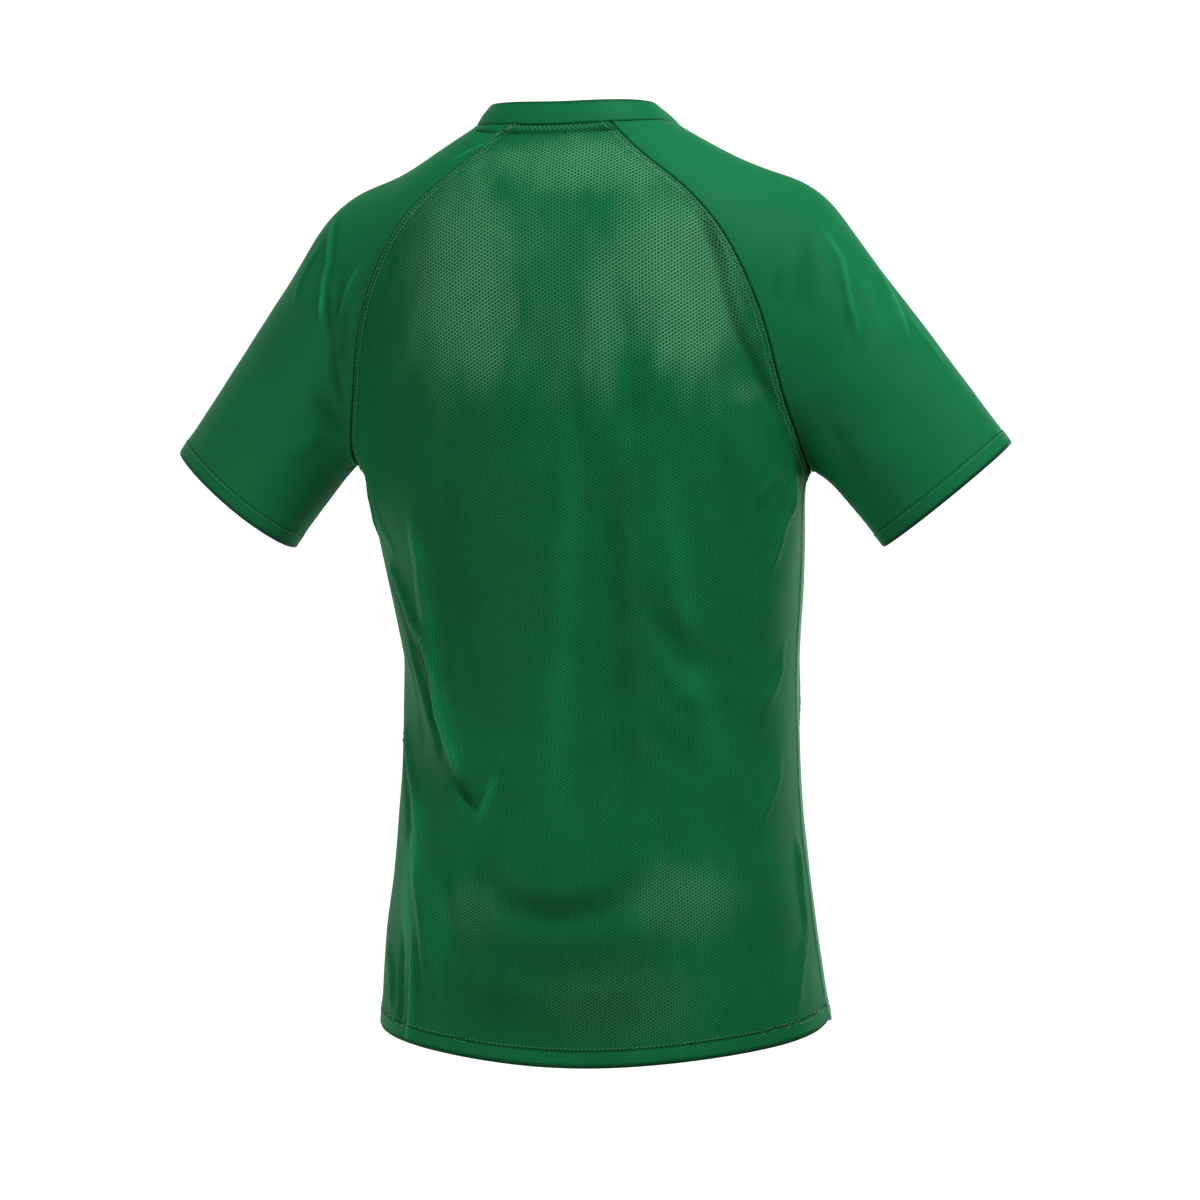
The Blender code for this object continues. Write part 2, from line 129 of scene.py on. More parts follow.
def movePoints(mesh, places):
    mesh.vertices.foreach_set("co", np.asarray(places).ravel())
    mesh.update()


def smoothCurve(places, step):
    # evenly spread points on a smooth curve through a few places
    p = np.array(places, float)
    if len(p) == 2:
        p = np.array([p[0], (p[0] + p[1]) / 2, p[1]])
    ends = np.concatenate([[2 * p[0] - p[1]], p, [2 * p[-1] - p[-2]]])
    fine = []
    for a, b, c, d in zip(ends, ends[1:], ends[2:], ends[3:]):
        for t in np.linspace(0, 1, 24, endpoint=False):
            fine.append(0.5 * (2 * b + (c - a) * t + (2 * a - 5 * b + 4 * c - d) * t ** 2
                               + (3 * b - a - 3 * c + d) * t ** 3))
    fine = np.array(fine + [p[-1]])
    return evenly(fine, step)


def lengthAlong(line):
    return np.concatenate([[0], np.cumsum(np.linalg.norm(np.diff(line, axis=0), axis=1))])


def readAt(at, along, values):
    # the rows of values at some lengths along a line
    return np.stack([np.interp(at, along, values[:, k]) for k in range(3)], axis=1)


def evenly(line, step):
    along = lengthAlong(line)
    count = max(2, int(round(along[-1] / step)) + 1)
    return readAt(np.linspace(0, along[-1], count), along, line)


usualCut = {"columnCut": False, "levels": 3, "thick": 0.7, "grain": (0, 0, 1)}
# inside is a place nearest to the wall's inner side, but for the collar to its outside; levels are of
# subdivision; thick is the cloth's thickness in mm; grain is which way its upright runs; split is where the
# seam of a tube starts and ends
cut = {
    "back": {"inside": (0, 0, -400), "columnCut": True, "levels": 2, "corners": {
        "neckLeft": (38, 60, -15), "armpitLeft": (172, -24, -259), "hemLeft": (165, -24, -673),
        "hemRight": (-190, -24, -673), "armpitRight": (-172, -24, -259), "neckRight": (-38, 60, -15)}},
    "front": {"inside": (0, -50, -400), "columnCut": True, "levels": 2, "corners": {
        "neckLeft": (45, -56, -45), "armpitLeft": (172, -26, -259), "hemLeft": (165, -26, -673),
        "hemRight": (-190, -26, -673), "armpitRight": (-172, -26, -259), "neckRight": (-45, -56, -45)}},
    "sleeve_left": {"inside": (200, -20, -190), "grain": (-0.6, 0, 0.8),
                    "split": ((175, -27, -262), (230, -40, -324)), "corners": {
        "neckBack": (38, 60, -15), "armpit": (174, -26, -261), "neckFront": (45, -56, -45)}},
    "sleeve_right": {"inside": (-200, -20, -190), "grain": (0.6, 0, 0.8),
                     "split": ((-175, -27, -262), (-222, -40, -324)), "corners": {
        "neckBack": (-38, 60, -15), "armpit": (-174, -26, -261), "neckFront": (-45, -56, -45)}},
    "collar": {"inside": (0, 500, 0), "thick": 1.3, "split": ((38, 60, -15), (33, 52, 1)), "corners": {}},
}
cut = {node: {**usualCut, **look} for node, look in cut.items()}


def cutOf(piece):
    return cut[piece.name.replace("_cloth", "")]


def pick(mesh, place):
    # the face whose middle is nearest to a place
    target = Vector(place) * mm
    return min(mesh.polygons, key=lambda face: (face.center - target).length_squared)


def nearestVertex(mesh, place, among):
    away = np.linalg.norm(points(mesh)[among] - np.array(place) * mm, axis=1)
    return among[int(np.argmin(away))]


def facesByEdge(mesh):
    # how many faces each edge has
    count = {}
    for face in mesh.polygons:
        for key in face.edge_keys:
            count[key] = count.get(key, 0) + 1
    return count


def neighbours(edgeEnds):
    # the vertices that each vertex shares an edge with
    linked = {}
    for a, b in edgeEnds:
        linked.setdefault(a, []).append(b)
        linked.setdefault(b, []).append(a)
    return linked


def walked(linked, start):
    # the vertices from start on, to the end of their edges or back to the start
    chain, last = [start], None
    while True:
        ahead = [v for v in linked[chain[-1]] if v != last]
        if not ahead or ahead[0] == start:
            return chain
        last = chain[-1]
        chain.append(ahead[0])


def rimVertices(mesh):
    # the vertices on open edges, as ordered loops
    linked = neighbours(edge for edge, used in facesByEdge(mesh).items() if used == 1)
    loops, left = [], set(linked)
    while left:
        loops.append(walked(linked, min(left)))
        left -= set(loops[-1])
    return loops


def takeSkin(node):
    # a copy of the solid, with its inner side and rims deleted and its triangles joined into quads
    look = cut[node]
    mesh = frame["nodes"][node].data.copy()
    mesh.materials.clear()
    piece = placed(node + "_cloth", mesh)
    workOn(piece)
    editing()
    bpy.ops.mesh.select_mode(type="FACE")
    allPicked()
    bpy.ops.mesh.remove_doubles(threshold=0.02 * mm)
    bpy.ops.mesh.customdata_custom_splitnormals_clear()
    bpy.ops.mesh.select_all(action="DESELECT")
    editing(False)
    pick(mesh, look["inside"]).select = True
    editing()
    if node == "collar":  # its inner wall has no flat way round, so its outer side is picked and kept
        bpy.ops.mesh.faces_select_linked_flat(sharpness=math.radians(50))
        bpy.ops.mesh.select_all(action="INVERT")
    else:
        bpy.ops.mesh.faces_select_linked_flat(sharpness=math.radians(45))
        bpy.ops.mesh.select_more(use_face_step=True)
    bpy.ops.mesh.delete(type="FACE")
    allPicked()
    bpy.ops.mesh.tris_convert_to_quads(face_threshold=math.pi, shape_threshold=math.pi)
    editing(False)
    return piece


def unrolled(piece):
    # lays the piece out flat in its UV map, in metres, with the grain up
    look, mesh = cutOf(piece), piece.data
    workOn(piece)
    if "split" in look:  # a tube is cut open along its seam
        nothingPicked(piece, "VERT")
        rims = [v for loop in rimVertices(mesh) for v in loop]
        ends = [nearestVertex(mesh, place, rims) for place in look["split"]]
        for v in ends:
            mesh.vertices[v].select = True
        markPath(mesh, *ends)
    if not mesh.uv_layers:
        mesh.uv_layers.new(name="cloth")
    editing()
    allPicked()
    bpy.ops.uv.unwrap(method="ANGLE_BASED", margin=0.0)
    editing(False)
    layer = mesh.uv_layers.active.data
    uv = read(layer, "uv", 2)
    place = points(mesh)[read(mesh.loops, "vertex_index", 1)[:, 0].astype(int)]
    # metres: the flat area is made that of the cloth
    flatArea = 0.0
    for face in mesh.polygons:
        c = uv[list(face.loop_indices)]
        flatArea += abs(np.sum(c[:, 0] * np.roll(c[:, 1], -1) - c[:, 1] * np.roll(c[:, 0], -1))) / 2
    area = sum(face.area for face in mesh.polygons)
    uv *= math.sqrt(area / flatArea)
    # the grain: the direction in the map along which the cloth runs up
    up = place @ np.array(look["grain"], float)
    fit = np.linalg.lstsq(np.c_[uv, np.ones(len(uv))], up, rcond=None)[0][:2]
    u = fit / np.linalg.norm(fit)
    uv = np.stack([uv @ np.array((u[1], -u[0])), uv @ u], axis=1)
    uv -= uv.min(axis=0)
    layer.foreach_set("uv", uv.ravel())


def markPath(mesh, start, end):
    # marks the shortest way along edges from one vertex to another as a seam
    linked = {}
    p = points(mesh)
    for edge in mesh.edges:
        a, b = edge.vertices
        length = float(np.linalg.norm(p[a] - p[b]))
        linked.setdefault(a, []).append((b, length, edge))
        linked.setdefault(b, []).append((a, length, edge))
    best, came, todo = {start: 0.0}, {}, {start}
    while todo:
        here = min(todo, key=best.get)
        todo.discard(here)
        if here == end:
            break
        for there, length, edge in linked[here]:
            if best[here] + length < best.get(there, math.inf):
                best[there] = best[here] + length
                came[there] = (here, edge)
                todo.add(there)
    while end != start:
        end, edge = came[end]
        edge.use_seam = True


def mapEdges(mesh):
    # how far each edge runs across and along the grain in the map
    uv = read(mesh.uv_layers.active.data, "uv", 2)
    edge = read(mesh.loops, "edge_index", 1)[:, 0].astype(int)
    following = np.arange(len(mesh.loops)) + 1
    for face in mesh.polygons:
        following[face.loop_start + face.loop_total - 1] = face.loop_start
    run = np.zeros((len(mesh.edges), 2))
    run[edge] = np.abs(uv[following] - uv)
    return run


def subdivided(piece, chosen, mode="EDGE"):
    # one cut through the chosen edges, or through the chosen faces' edges
    mesh = piece.data
    nothingPicked(piece, mode)
    (mesh.edges if mode == "EDGE" else mesh.polygons).foreach_set("select", [bool(c) for c in chosen])
    editing()
    bpy.ops.mesh.subdivide(number_cuts=1)
    editing(False)


def refined(piece):
    # finer quads, all over and then once more across the cloth where it is still coarse
    look, mesh = cutOf(piece), piece.data
    applied(piece, "SUBSURF", levels=look["levels"], render_levels=look["levels"],
            boundary_smooth="PRESERVE_CORNERS", uv_smooth="PRESERVE_BOUNDARIES")
    if look["columnCut"]:
        run = mapEdges(mesh)
        subdivided(piece, run[:, 0] > run[:, 1])


def treeOf(line):
    tree = KDTree(len(line))
    for i, place in enumerate(line):
        tree.insert(place, i)
    tree.balance()
    return tree


def distances(places, line, reach):
    # how far each place is from a line, and which point of the line is nearest; not looked up beyond reach
    away, near = np.full(len(places), np.inf), np.zeros(len(places), int)
    low, high = line.min(axis=0) - reach, line.max(axis=0) + reach
    close = np.nonzero(((places > low) & (places < high)).all(axis=1))[0]
    tree = treeOf(line)
    for i in close:
        _, near[i], away[i] = tree.find(places[i])
    return away, near


edgeStep = 0.5  # mm between the points of an edge line


def edgeLines(piece):
    # the piece's named edges as evenly spread points, from its rim between its corners
    look, mesh = cutOf(piece), piece.data
    p, lines = points(mesh), {}
    for loop in rimVertices(mesh):
        corners = []
        for name, place in look["corners"].items():
            away = np.linalg.norm(p[loop] - np.array(place) * mm, axis=1)
            if away.min() < 25 * mm:
                corners.append((int(np.argmin(away)), name))
        corners.sort()
        if not corners:
            low = p[loop][:, 2].mean() < -20 * mm  # of the collar's two, its seam
            lines["ring_low" if low else "ring_high"] = evenly(p[loop + loop[:1]], edgeStep * mm)
            continue
        for (i, a), (j, b) in zip(corners, corners[1:] + corners[:1]):
            chain = loop[i:j + 1] if j > i else loop[i:] + loop[:j + 1]
            if a > b:
                chain, a, b = chain[::-1], b, a
            lines[a + "-" + b] = evenly(p[chain], edgeStep * mm)
    return lines


finer = {"seams": (-1, 8.0), "hems": (10.5, 15.0)}  # mm from the edge, between which faces are made finer
cloth, edges = {}, {}
for node in cut:
    cloth[node] = takeSkin(node)
    unrolled(cloth[node])
    refined(cloth[node])
    edges[node] = edgeLines(cloth[node])
    for name, line in edges[node].items():
        if node != "collar":  # finer along the seams, whose relief is narrow, and along the hems' stitches
            low, high = finer["hems" if name.startswith(("hem", "ring")) else "seams"]
            away = distances(read(cloth[node].data.polygons, "center"), line, (high + 1) * mm)[0] / mm
            subdivided(cloth[node], (away > low) & (away < high), "FACE")


def shellTree(pieces):
    # one tree of several pieces' faces, to find the nearest place on them
    verts, faces = [], []
    for piece in pieces:
        start = len(verts)
        verts += [v.co.copy() for v in piece.data.vertices]
        faces += [[start + v for v in face.vertices] for face in piece.data.polygons]
    return BVHTree.FromPolygons(verts, faces)


# Each fold runs down through its places (mm: across, depth, height). rise is its height, below zero for a
# trough; left and right are its widths on either side, as seen from outside with the fold running down;
# crisp folds have a creased crest and soft ones a rounded one; ends is how gradually it starts and stops;
# the last two are the painted highlight on its crest and the painted shade it carries, each an amount
# followed by how wide that is and, where it isn't on the crest, how far from it, to the right above zero.
def fold(places, rise, left, right, crisp=False, ends=0.3, taut=(0, 1), dark=(0, 1)):
    return {"places": places, "rise": rise, "left": left, "right": right, "crisp": crisp, "ends": ends,
            "taut": (*taut, 0)[:3], "dark": (*dark, 0)[:3]}


# Many folds carry painted highlights and painted shade as well as relief; drapeLeftShadow, hipShade,
# seatUnder, lowUpright and lowHollow are shallow and mostly painted shade, and hipSheen mostly painted
# highlight.
folds = {
    "drapeLeftUpper": fold(((138, 33, -334), (127, 42, -356), (119, 47, -371), (111, 53, -386),
        (103, 57, -399), (96, 59, -415)), 3.8, 4.5, 11, crisp=True, ends=0.1, taut=(1, 1.8),
        dark=(0.9, 6, -6)),
    "drapeLeftMiddle": fold(((103, 57, -399), (96, 59, -415), (93, 58, -435), (86, 61, -459)), 3, 5, 12,
        crisp=True, ends=0.35, taut=(0.8, 2.2), dark=(0.55, 6, -7)),
    "drapeLeftLower": fold(((97, 59, -425), (86, 61, -459), (77, 63, -479), (69, 65, -498)), 3.6, 7, 12,
        taut=(0.6, 3.4)),
    "drapeLeftShade": fold(((124, 43, -378), (117, 48, -396), (108, 52, -420), (98, 56, -450),
        (88, 60, -486)), -3.6, 6, 6, ends=0.25),
    "drapeLeftShadow": fold(((128, 38, -372), (123, 40, -402), (118, 42, -448), (110, 46, -480)), -0.8, 8, 8,
        dark=(0.4, 8)),
    "drapeLeftCrown": fold(((110, 72, -290), (103, 68, -333), (101, 62, -362), (98, 59, -391),
        (97, 58, -408)), 3.2, 12, 7, taut=(0.2, 6)),
    "drapeCrownShade": fold(((87, 80, -305), (88, 71, -347), (89, 63, -391), (86, 60, -428), (76, 64, -460)),
        -2.8, 8, 18, ends=0.35),
    "drapeEnd": fold(((77, 62, -492), (70, 64, -506), (63, 65, -511), (58, 67, -506)), -4.4, 6, 6, ends=0.35,
        dark=(0.4, 3.5)),
    "drapeEndLift": fold(((46, 71, -484), (50, 69, -502), (56, 68, -517), (64, 67, -532)), 2.8, 7, 6,
        ends=0.4, taut=(0.35, 3.5)),
    "drapeLeftSecond": fold(((134, 6, -450), (128, 17, -470), (124, 25, -487), (118, 34, -507),
        (113, 41, -523), (105, 51, -548)), 3.4, 4.5, 11, crisp=True, ends=0.2, taut=(0.6, 1.5),
        dark=(0.4, 3.5, -4)),
    "drapeSecondShade": fold(((138, 4, -462), (133, 14, -482), (129, 22, -500), (122, 33, -524),
        (114, 44, -550)), -3, 6, 5, ends=0.25),
    "hipA": fold(((112, 42, -536), (107, 54, -572), (101, 64, -606), (92, 70, -658)), 4, 9, 13),
    "hipAShade": fold(((92, 58, -548), (84, 68, -590), (74, 74, -634)), -2.4, 9, 14, ends=0.4),
    "hipB": fold(((115, 53, -596), (112, 57, -622), (112, 56, -645), (114, 54, -671), (117, 50, -694)), 3, 4,
        8, ends=0.35, taut=(0.5, 3.5), dark=(0.3, 3, -5)),
    "hipBShade": fold(((126, 40, -600), (124, 42, -621), (124, 44, -647), (124, 47, -680)), -2.4, 6, 5,
        ends=0.25),
    "hipC": fold(((142, 10, -612), (132, 26, -640), (128, 30, -672)), 2.4, 5, 7),
    "rightA": fold(((-166, -6, -268), (-159, 14, -307), (-148, 30, -350)), 3.4, 9, 4),
    "rightB": fold(((-158, -4, -392), (-150, 10, -424), (-138, 28, -450)), 3, 8, 4, ends=0.35),
    "rightC": fold(((-158, 0, -474), (-150, 14, -502), (-140, 32, -536)), 3.2, 9, 4, ends=0.35),
    "rightD": fold(((-163, -19, -528), (-158, -14, -580), (-160, -10, -620)), 2.8, 8, 5),
    "rightE": fold(((-166, -14, -600), (-160, 2, -630), (-152, 14, -668)), 2.6, 8, 5),
    "armpitRightA": fold(((-166, 0, -268), (-162, 6, -285), (-160, 8, -304)), 2, 6, 6),
    "armpitRightB": fold(((-158, 20, -262), (-146, 36, -284), (-134, 46, -296)), 1.6, 7, 5, ends=0.4),
    "armpitLeftA": fold(((168, 0, -272), (164, 8, -292), (158, 16, -318)), 2, 7, 7),
    "armpitLeftB": fold(((151, 28, -284), (141, 35, -308), (126, 47, -332)), 2.2, 6, 7, ends=0.4,
        taut=(0.2, 4)),
    "waistV": fold(((-62, 68, -352), (-80, 64, -384), (-100, 58, -410), (-124, 44, -420)), -4.4, 14, 18,
        ends=0.45, dark=(0.2, 9)),
    "waistVBand": fold(((-74, 68, -398), (-94, 61, -428), (-118, 50, -446)), 3.2, 12, 14, ends=0.45,
        taut=(0.12, 8)),
    "waistVLower": fold(((-50, 72, -420), (-84, 62, -470), (-120, 48, -492)), -2.2, 16, 16, ends=0.45,
        dark=(0.16, 10)),
    "seatSag": fold(((62, 74, -566), (30, 80, -582), (-6, 81, -586), (-40, 79, -580), (-74, 73, -562)), -2.8,
        12, 16, ends=0.35, dark=(0.54, 11)),
    "midStreakA": fold(((-20, 105, -215), (-17, 100, -269), (-13, 89, -333), (-6, 79, -405), (-2, 75, -478),
        (-5, 78, -548)), 1.8, 16, 14, taut=(0.13, 11)),
    "midStreakB": fold(((-45, 101, -226), (-45, 94, -290), (-48, 83, -362), (-51, 74, -434), (-55, 72, -506),
        (-58, 76, -562)), -1.8, 12, 12, dark=(0.2, 10)),
    "midStreakC": fold(((-83, 91, -236), (-86, 85, -290), (-93, 74, -348), (-101, 60, -405),
        (-112, 52, -463), (-136, 37, -522)), 1.6, 13, 13, taut=(0.14, 10)),
    "bladeTroughLeft": fold(((-22, 106, -130), (-23, 106, -170), (-20, 103, -215), (-22, 100, -262)), -2.6,
        12, 12, ends=0.35),
    "bladeTroughRight": fold(((-56, 100, -130), (-60, 99, -180), (-62, 97, -233), (-58, 94, -270)), -2.6, 10,
        14, ends=0.35),
    "bladeRidge": fold(((-40, 104, -140), (-42, 103, -190), (-40, 100, -240)), 1.4, 8, 8, ends=0.4),
    "raglanTroughRight": fold(((-104, 74, -70), (-111, 75, -88), (-119, 74, -113), (-127, 69, -141),
        (-134, 61, -170), (-143, 51, -192), (-152, 39, -213), (-159, 23, -235)), -3.6, 8, 7, ends=0.2,
        dark=(0.4, 4.5)),
    "raglanTroughLeft": fold(((96, 78, -76), (118, 68, -110), (136, 58, -160), (148, 44, -210)), -1.8, 7, 9),
    "sleeveRightRidge": fold(((-187, 25, -88), (-193, 25, -99), (-200, 24, -112), (-206, 26, -130),
        (-211, 28, -149), (-215, 28, -167), (-218, 29, -181)), 2.6, 6, 8, ends=0.25, taut=(0.28, 2.2)),
    "sleeveRightTrough": fold(((-183, 31, -91), (-182, 40, -109), (-180, 44, -131), (-178, 44, -146),
        (-178, 42, -168)), -2.4, 10, 7, ends=0.35, dark=(0.2, 8)),
    "sleeveRightCrease": fold(((-163, 51, -122), (-161, 52, -139), (-159, 51, -154)), -2, 4, 4, ends=0.35,
        dark=(0.22, 3.5)),
    "sleeveRightLow": fold(((-186, 26, -230), (-204, 16, -256), (-214, 6, -290)), -1.8, 9, 9, ends=0.4),
    "sleeveLeftRidge": fold(((184, 24, -72), (182, 38, -98), (181, 42, -111), (184, 43, -126),
        (186, 43, -143), (188, 42, -160)), 2.6, 5, 4, crisp=True, ends=0.2, taut=(0.75, 1.3),
        dark=(0.3, 4, 5)),
    "sleeveLeftStreak": fold(((149, 59, -113), (157, 55, -123), (165, 51, -134), (169, 48, -146),
        (173, 45, -159)), 2, 4, 5, taut=(0.5, 1.6)),
    "sleeveLeftPleat": fold(((185, 43, -130), (183, 44, -139), (181, 44, -154), (179, 41, -170),
        (178, 38, -186), (176, 30, -205), (173, 22, -221)), -2.4, 4, 5, ends=0.2, dark=(0.6, 2)),
    "sleeveLeftShade": fold(((194, 34, -200), (188, 26, -216), (178, 16, -230), (170, 10, -240)), -1.6, 10,
        10, ends=0.4, dark=(0.35, 10)),
    "sleeveLeftBand": fold(((184, 38, -240), (206, 26, -252), (226, 10, -262)), 1.8, 12, 12, ends=0.4),
    "neckSlotLeft": fold(((70, 44, -16), (60, 53, -18), (52, 59, -20), (42, 64, -22)), -1.6, 3, 3, ends=0.25,
        dark=(0.7, 1.6)),
    "frontArmpitLeft": fold(((158, -60, -250), (138, -92, -276), (112, -112, -312)), 3.4, 9, 7, ends=0.4,
        taut=(0.18, 5), dark=(0.15, 6, 9)),
    "frontArmpitRight": fold(((-158, -60, -250), (-140, -92, -280), (-108, -112, -322)), 3.6, 7, 9, ends=0.4,
        taut=(0.18, 5), dark=(0.15, 6, -9)),
    "frontRaglanLeft": fold(((84, -96, -110), (108, -92, -150), (132, -76, -200)), -3, 7, 10, ends=0.35,
        dark=(0.2, 7)),
    "frontRaglanRight": fold(((-84, -96, -104), (-106, -92, -146), (-132, -76, -204)), -3.2, 10, 7,
        ends=0.35, dark=(0.2, 7)),
    "frontDrapeLeft": fold(((146, -44, -420), (128, -78, -470), (108, -98, -540), (96, -106, -620)), 4, 10,
        7, ends=0.35, taut=(0.2, 5), dark=(0.2, 6, 9)),
    "frontDrapeRight": fold(((-148, -44, -400), (-134, -78, -452), (-118, -98, -520), (-112, -104, -600)), 4,
        7, 10, ends=0.35, taut=(0.2, 5), dark=(0.2, 6, -9)),
    "frontWaist": fold(((84, -114, -410), (40, -124, -440), (-20, -126, -448), (-76, -116, -426)), -3, 16,
        12, ends=0.4, dark=(0.16, 10)),
    "frontHemA": fold(((52, -118, -590), (58, -118, -640), (62, -116, -686)), 3, 12, 9, ends=0.25,
        taut=(0.15, 6), dark=(0.15, 6, 9)),
    "frontHemB": fold(((-40, -120, -584), (-46, -118, -636), (-48, -116, -686)), 2.8, 9, 13, ends=0.25,
        taut=(0.15, 6), dark=(0.15, 6, -9)),
    "sleeveLeftRidge2": fold(((192, 27, -91), (198, 29, -104), (204, 29, -117), (210, 29, -130),
        (213, 31, -142)), 2.4, 4, 5, crisp=True, ends=0.25, taut=(0.7, 1.3), dark=(0.25, 3, 4)),
    "sleeveLeftTrough": fold(((172, 48, -112), (170, 49, -134), (172, 46, -156), (172, 40, -180),
        (170, 32, -204)), -1.8, 8, 8, dark=(0.22, 7)),
    "sleeveRightRim": fold(((-222, -10, -114), (-229, -6, -128), (-237, -2, -145), (-245, 3, -162),
        (-252, 6, -178)), 2.4, 6, 5, taut=(0.5, 1.8)),
    "sleeveRightTrough2": fold(((-199, 27, -117), (-204, 29, -134), (-207, 30, -149), (-209, 31, -167),
        (-211, 31, -186)), -2.2, 5, 5, ends=0.35, dark=(0.25, 2.5)),
    "sleeveRightCrest": fold(((-204, 15, -109), (-211, 15, -122), (-219, 15, -137), (-229, 18, -159),
        (-244, 16, -188)), 1.6, 9, 9, ends=0.35, taut=(0.08, 7)),
    "sleeveRightRim2": fold(((-244, -8, -150), (-253, -9, -163), (-264, -13, -178), (-274, -16, -192)), 1.6,
        4, 4, taut=(0.4, 1.6)),
    "neckRidgeLeft": fold(((84, 64, -44), (65, 67, -35), (50, 68, -30), (41, 67, -25)), 1.2, 3, 3,
        taut=(0.5, 1.5)),
    "midStreakD": fold(((-122, 72, -236), (-130, 60, -285), (-134, 50, -336)), -1.4, 10, 10, ends=0.35,
        dark=(0.12, 10)),
    "midStreakE": fold(((71, 96, -240), (78, 87, -289), (76, 75, -347), (71, 68, -406), (64, 67, -460)),
        -1.4, 10, 16, dark=(0.1, 12)),
    "hipShade": fold(((48, 72, -520), (46, 74, -545), (56, 76, -590), (66, 76, -640), (70, 76, -672)), -1.6,
        14, 14, dark=(0.2, 16)),
    "seatUnder": fold(((84, 66, -606), (40, 79, -622), (-10, 84, -628), (-60, 80, -624), (-104, 62, -606)),
        -1.6, 20, 24, dark=(0.3, 26)),
    "lowUpright": fold(((66, 77, -600), (68, 76, -640), (70, 76, -690)), -1.4, 12, 12, dark=(0.22, 18)),
    "frontStreakA": fold(((34, -112, -200), (40, -120, -300), (36, -126, -400), (44, -122, -520)), 1.8, 14,
        12, ends=0.4, taut=(0.12, 10)),
    "frontStreakB": fold(((-20, -112, -220), (-24, -122, -320), (-16, -126, -420), (-24, -124, -540)), -1.8,
        12, 14, ends=0.4, dark=(0.14, 10)),
    "frontStreakC": fold(((-66, -110, -240), (-72, -116, -330), (-66, -120, -420)), 1.8, 12, 12, ends=0.4,
        taut=(0.12, 9)),
    "frontSleeveLeft": fold(((190, -62, -96), (206, -62, -130), (222, -60, -170)), 2.6, 8, 7, ends=0.35,
        taut=(0.2, 4), dark=(0.2, 5, 7)),
    "frontSleeveRight": fold(((-186, -62, -96), (-200, -64, -132), (-212, -62, -172)), 2.6, 7, 8, ends=0.35,
        taut=(0.2, 4), dark=(0.2, 5, -7)),
    "lowHollow": fold(((86, 66, -652), (40, 78, -660), (-10, 82, -662), (-56, 78, -660), (-92, 68, -652)),
        -0.8, 22, 22, dark=(0.4, 26)),
    "hipSheen": fold(((118, 44, -486), (119, 46, -550), (117, 47, -600), (117, 48, -652)), 0.6, 14, 14,
        taut=(0.52, 11)),
}

# mm: the cloth's own unevenness, how far a fold's crest wobbles, and as a share how uneven its height is
drift = {"slow": 0.9, "slowSize": 80, "quick": 0.3, "quickSize": 28, "wobble": 1.8, "wobbleSize": 26,
         "uneven": 0.3, "unevenSize": 40}


def wander(places, size, seed):
    # smooth noise from -1 to 1 at each place
    return np.array([noise.noise(Vector(place) / (size * mm) + Vector((seed, 0, 0))) for place in places])


def bell(away, wide):
    return np.exp(-(away / wide) ** 2)


def foldPath(one, tree):
    # the fold's crest on the cloth, and the way to its right side there
    line = smoothCurve(np.array(one["places"], float) * mm, 2 * mm)
    found = [tree.find_nearest(place) for place in line]
    line = np.array([hit[0] for hit in found])
    out = np.array([hit[1] for hit in found])
    ahead = np.gradient(line, axis=0)
    right = np.cross(out, ahead)
    right /= np.linalg.norm(right, axis=1, keepdims=True)
    return line, right


def foldHeights(places, tree):
    # how far the folds lift each place, and the painted highlight and painted shade they give it
    total, taut, dark = np.zeros(len(places)), np.zeros(len(places)), np.zeros(len(places))
    for seed, one in enumerate(folds.values()):
        line, right = foldPath(one, tree)
        reach = (max(one["left"], one["right"]) + 4) * mm
        away, near = distances(places, line, reach)
        close = np.nonzero(away < reach)[0]
        if not len(close):
            continue
        at = near[close]
        side = np.einsum("ij,ij->i", places[close] - line[at], right[at])
        side = np.sign(side) * away[close]
        side += drift["wobble"] * mm * wander(line, drift["wobbleSize"], seed)[at]
        share = np.abs(side) / np.where(side > 0, one["right"], one["left"]) / mm
        share = np.clip(share, 0, 1)
        shape = (1 - share) ** 1.7 if one["crisp"] else (1 - share ** 2) ** 2
        along = at / (len(line) - 1)
        fade = np.clip(np.minimum(along, 1 - along) / one["ends"], 0, 1)
        fade = fade * fade * (3 - 2 * fade)
        uneven = 1 + drift["uneven"] * wander(line, drift["unevenSize"], seed + 50)[at]
        total[close] += one["rise"] * mm * shape * fade * uneven
        for values, (amount, wide, off) in ((taut, one["taut"]), (dark, one["dark"])):
            spread = amount * fade * uneven * bell(side / mm - off, wide)
            values[close] = np.maximum(values[close], spread)
    return total, taut, dark


# Relief beside a sewn edge, by the distance from it in mm: groove is the depth of the seam line itself and
# ridge the height of the cloth rolled up beside it; band is the width and step the height of the
# turned-under cloth; rows are where its stitches lie and sink how deep they draw in; dark, edge and line are
# the painted shade along the seam line, along the band's far side and beside the stitches.
seams = {
    "raglanBody": {"groove": 0.45, "ridge": 0.6, "band": 8.4, "step": 0.5, "rows": (2.6, 6.8), "sink": 0.35,
        "pucker": 0.12, "dark": 0.4, "edge": 0.12, "line": 0.2},
    "raglanSleeve": {"groove": 0.35, "ridge": 0.3, "band": 3.2, "step": 0.3, "pucker": 0.12, "dark": 0.3,
        "edge": 0.15},
    "side": {"groove": 0.6, "ridge": 0.2, "band": 3, "step": 0.3, "pucker": 0.12, "dark": 0.5},
    "neck": {"groove": 0.15, "band": 7.6, "step": 0.8, "pucker": 0.1, "dark": 0.5, "edge": 0.85},
    "neckSleeve": {"groove": 0.15, "band": 3, "step": 0.3, "pucker": 0.12, "dark": 0.35},
    "hem": {"groove": 0.7, "rows": (12.6,), "sink": 0.8, "pucker": 0.2, "dark": 1.5, "line": 0.65},
    "cuff": {"groove": 0.7, "rows": (12.6,), "sink": 0.5, "pucker": 0.2, "dark": 1.5, "line": 0.4},
    "underarm": {"groove": 0.6, "ridge": 0.2, "band": 3, "step": 0.25, "pucker": 0.2, "dark": 0.5},
}
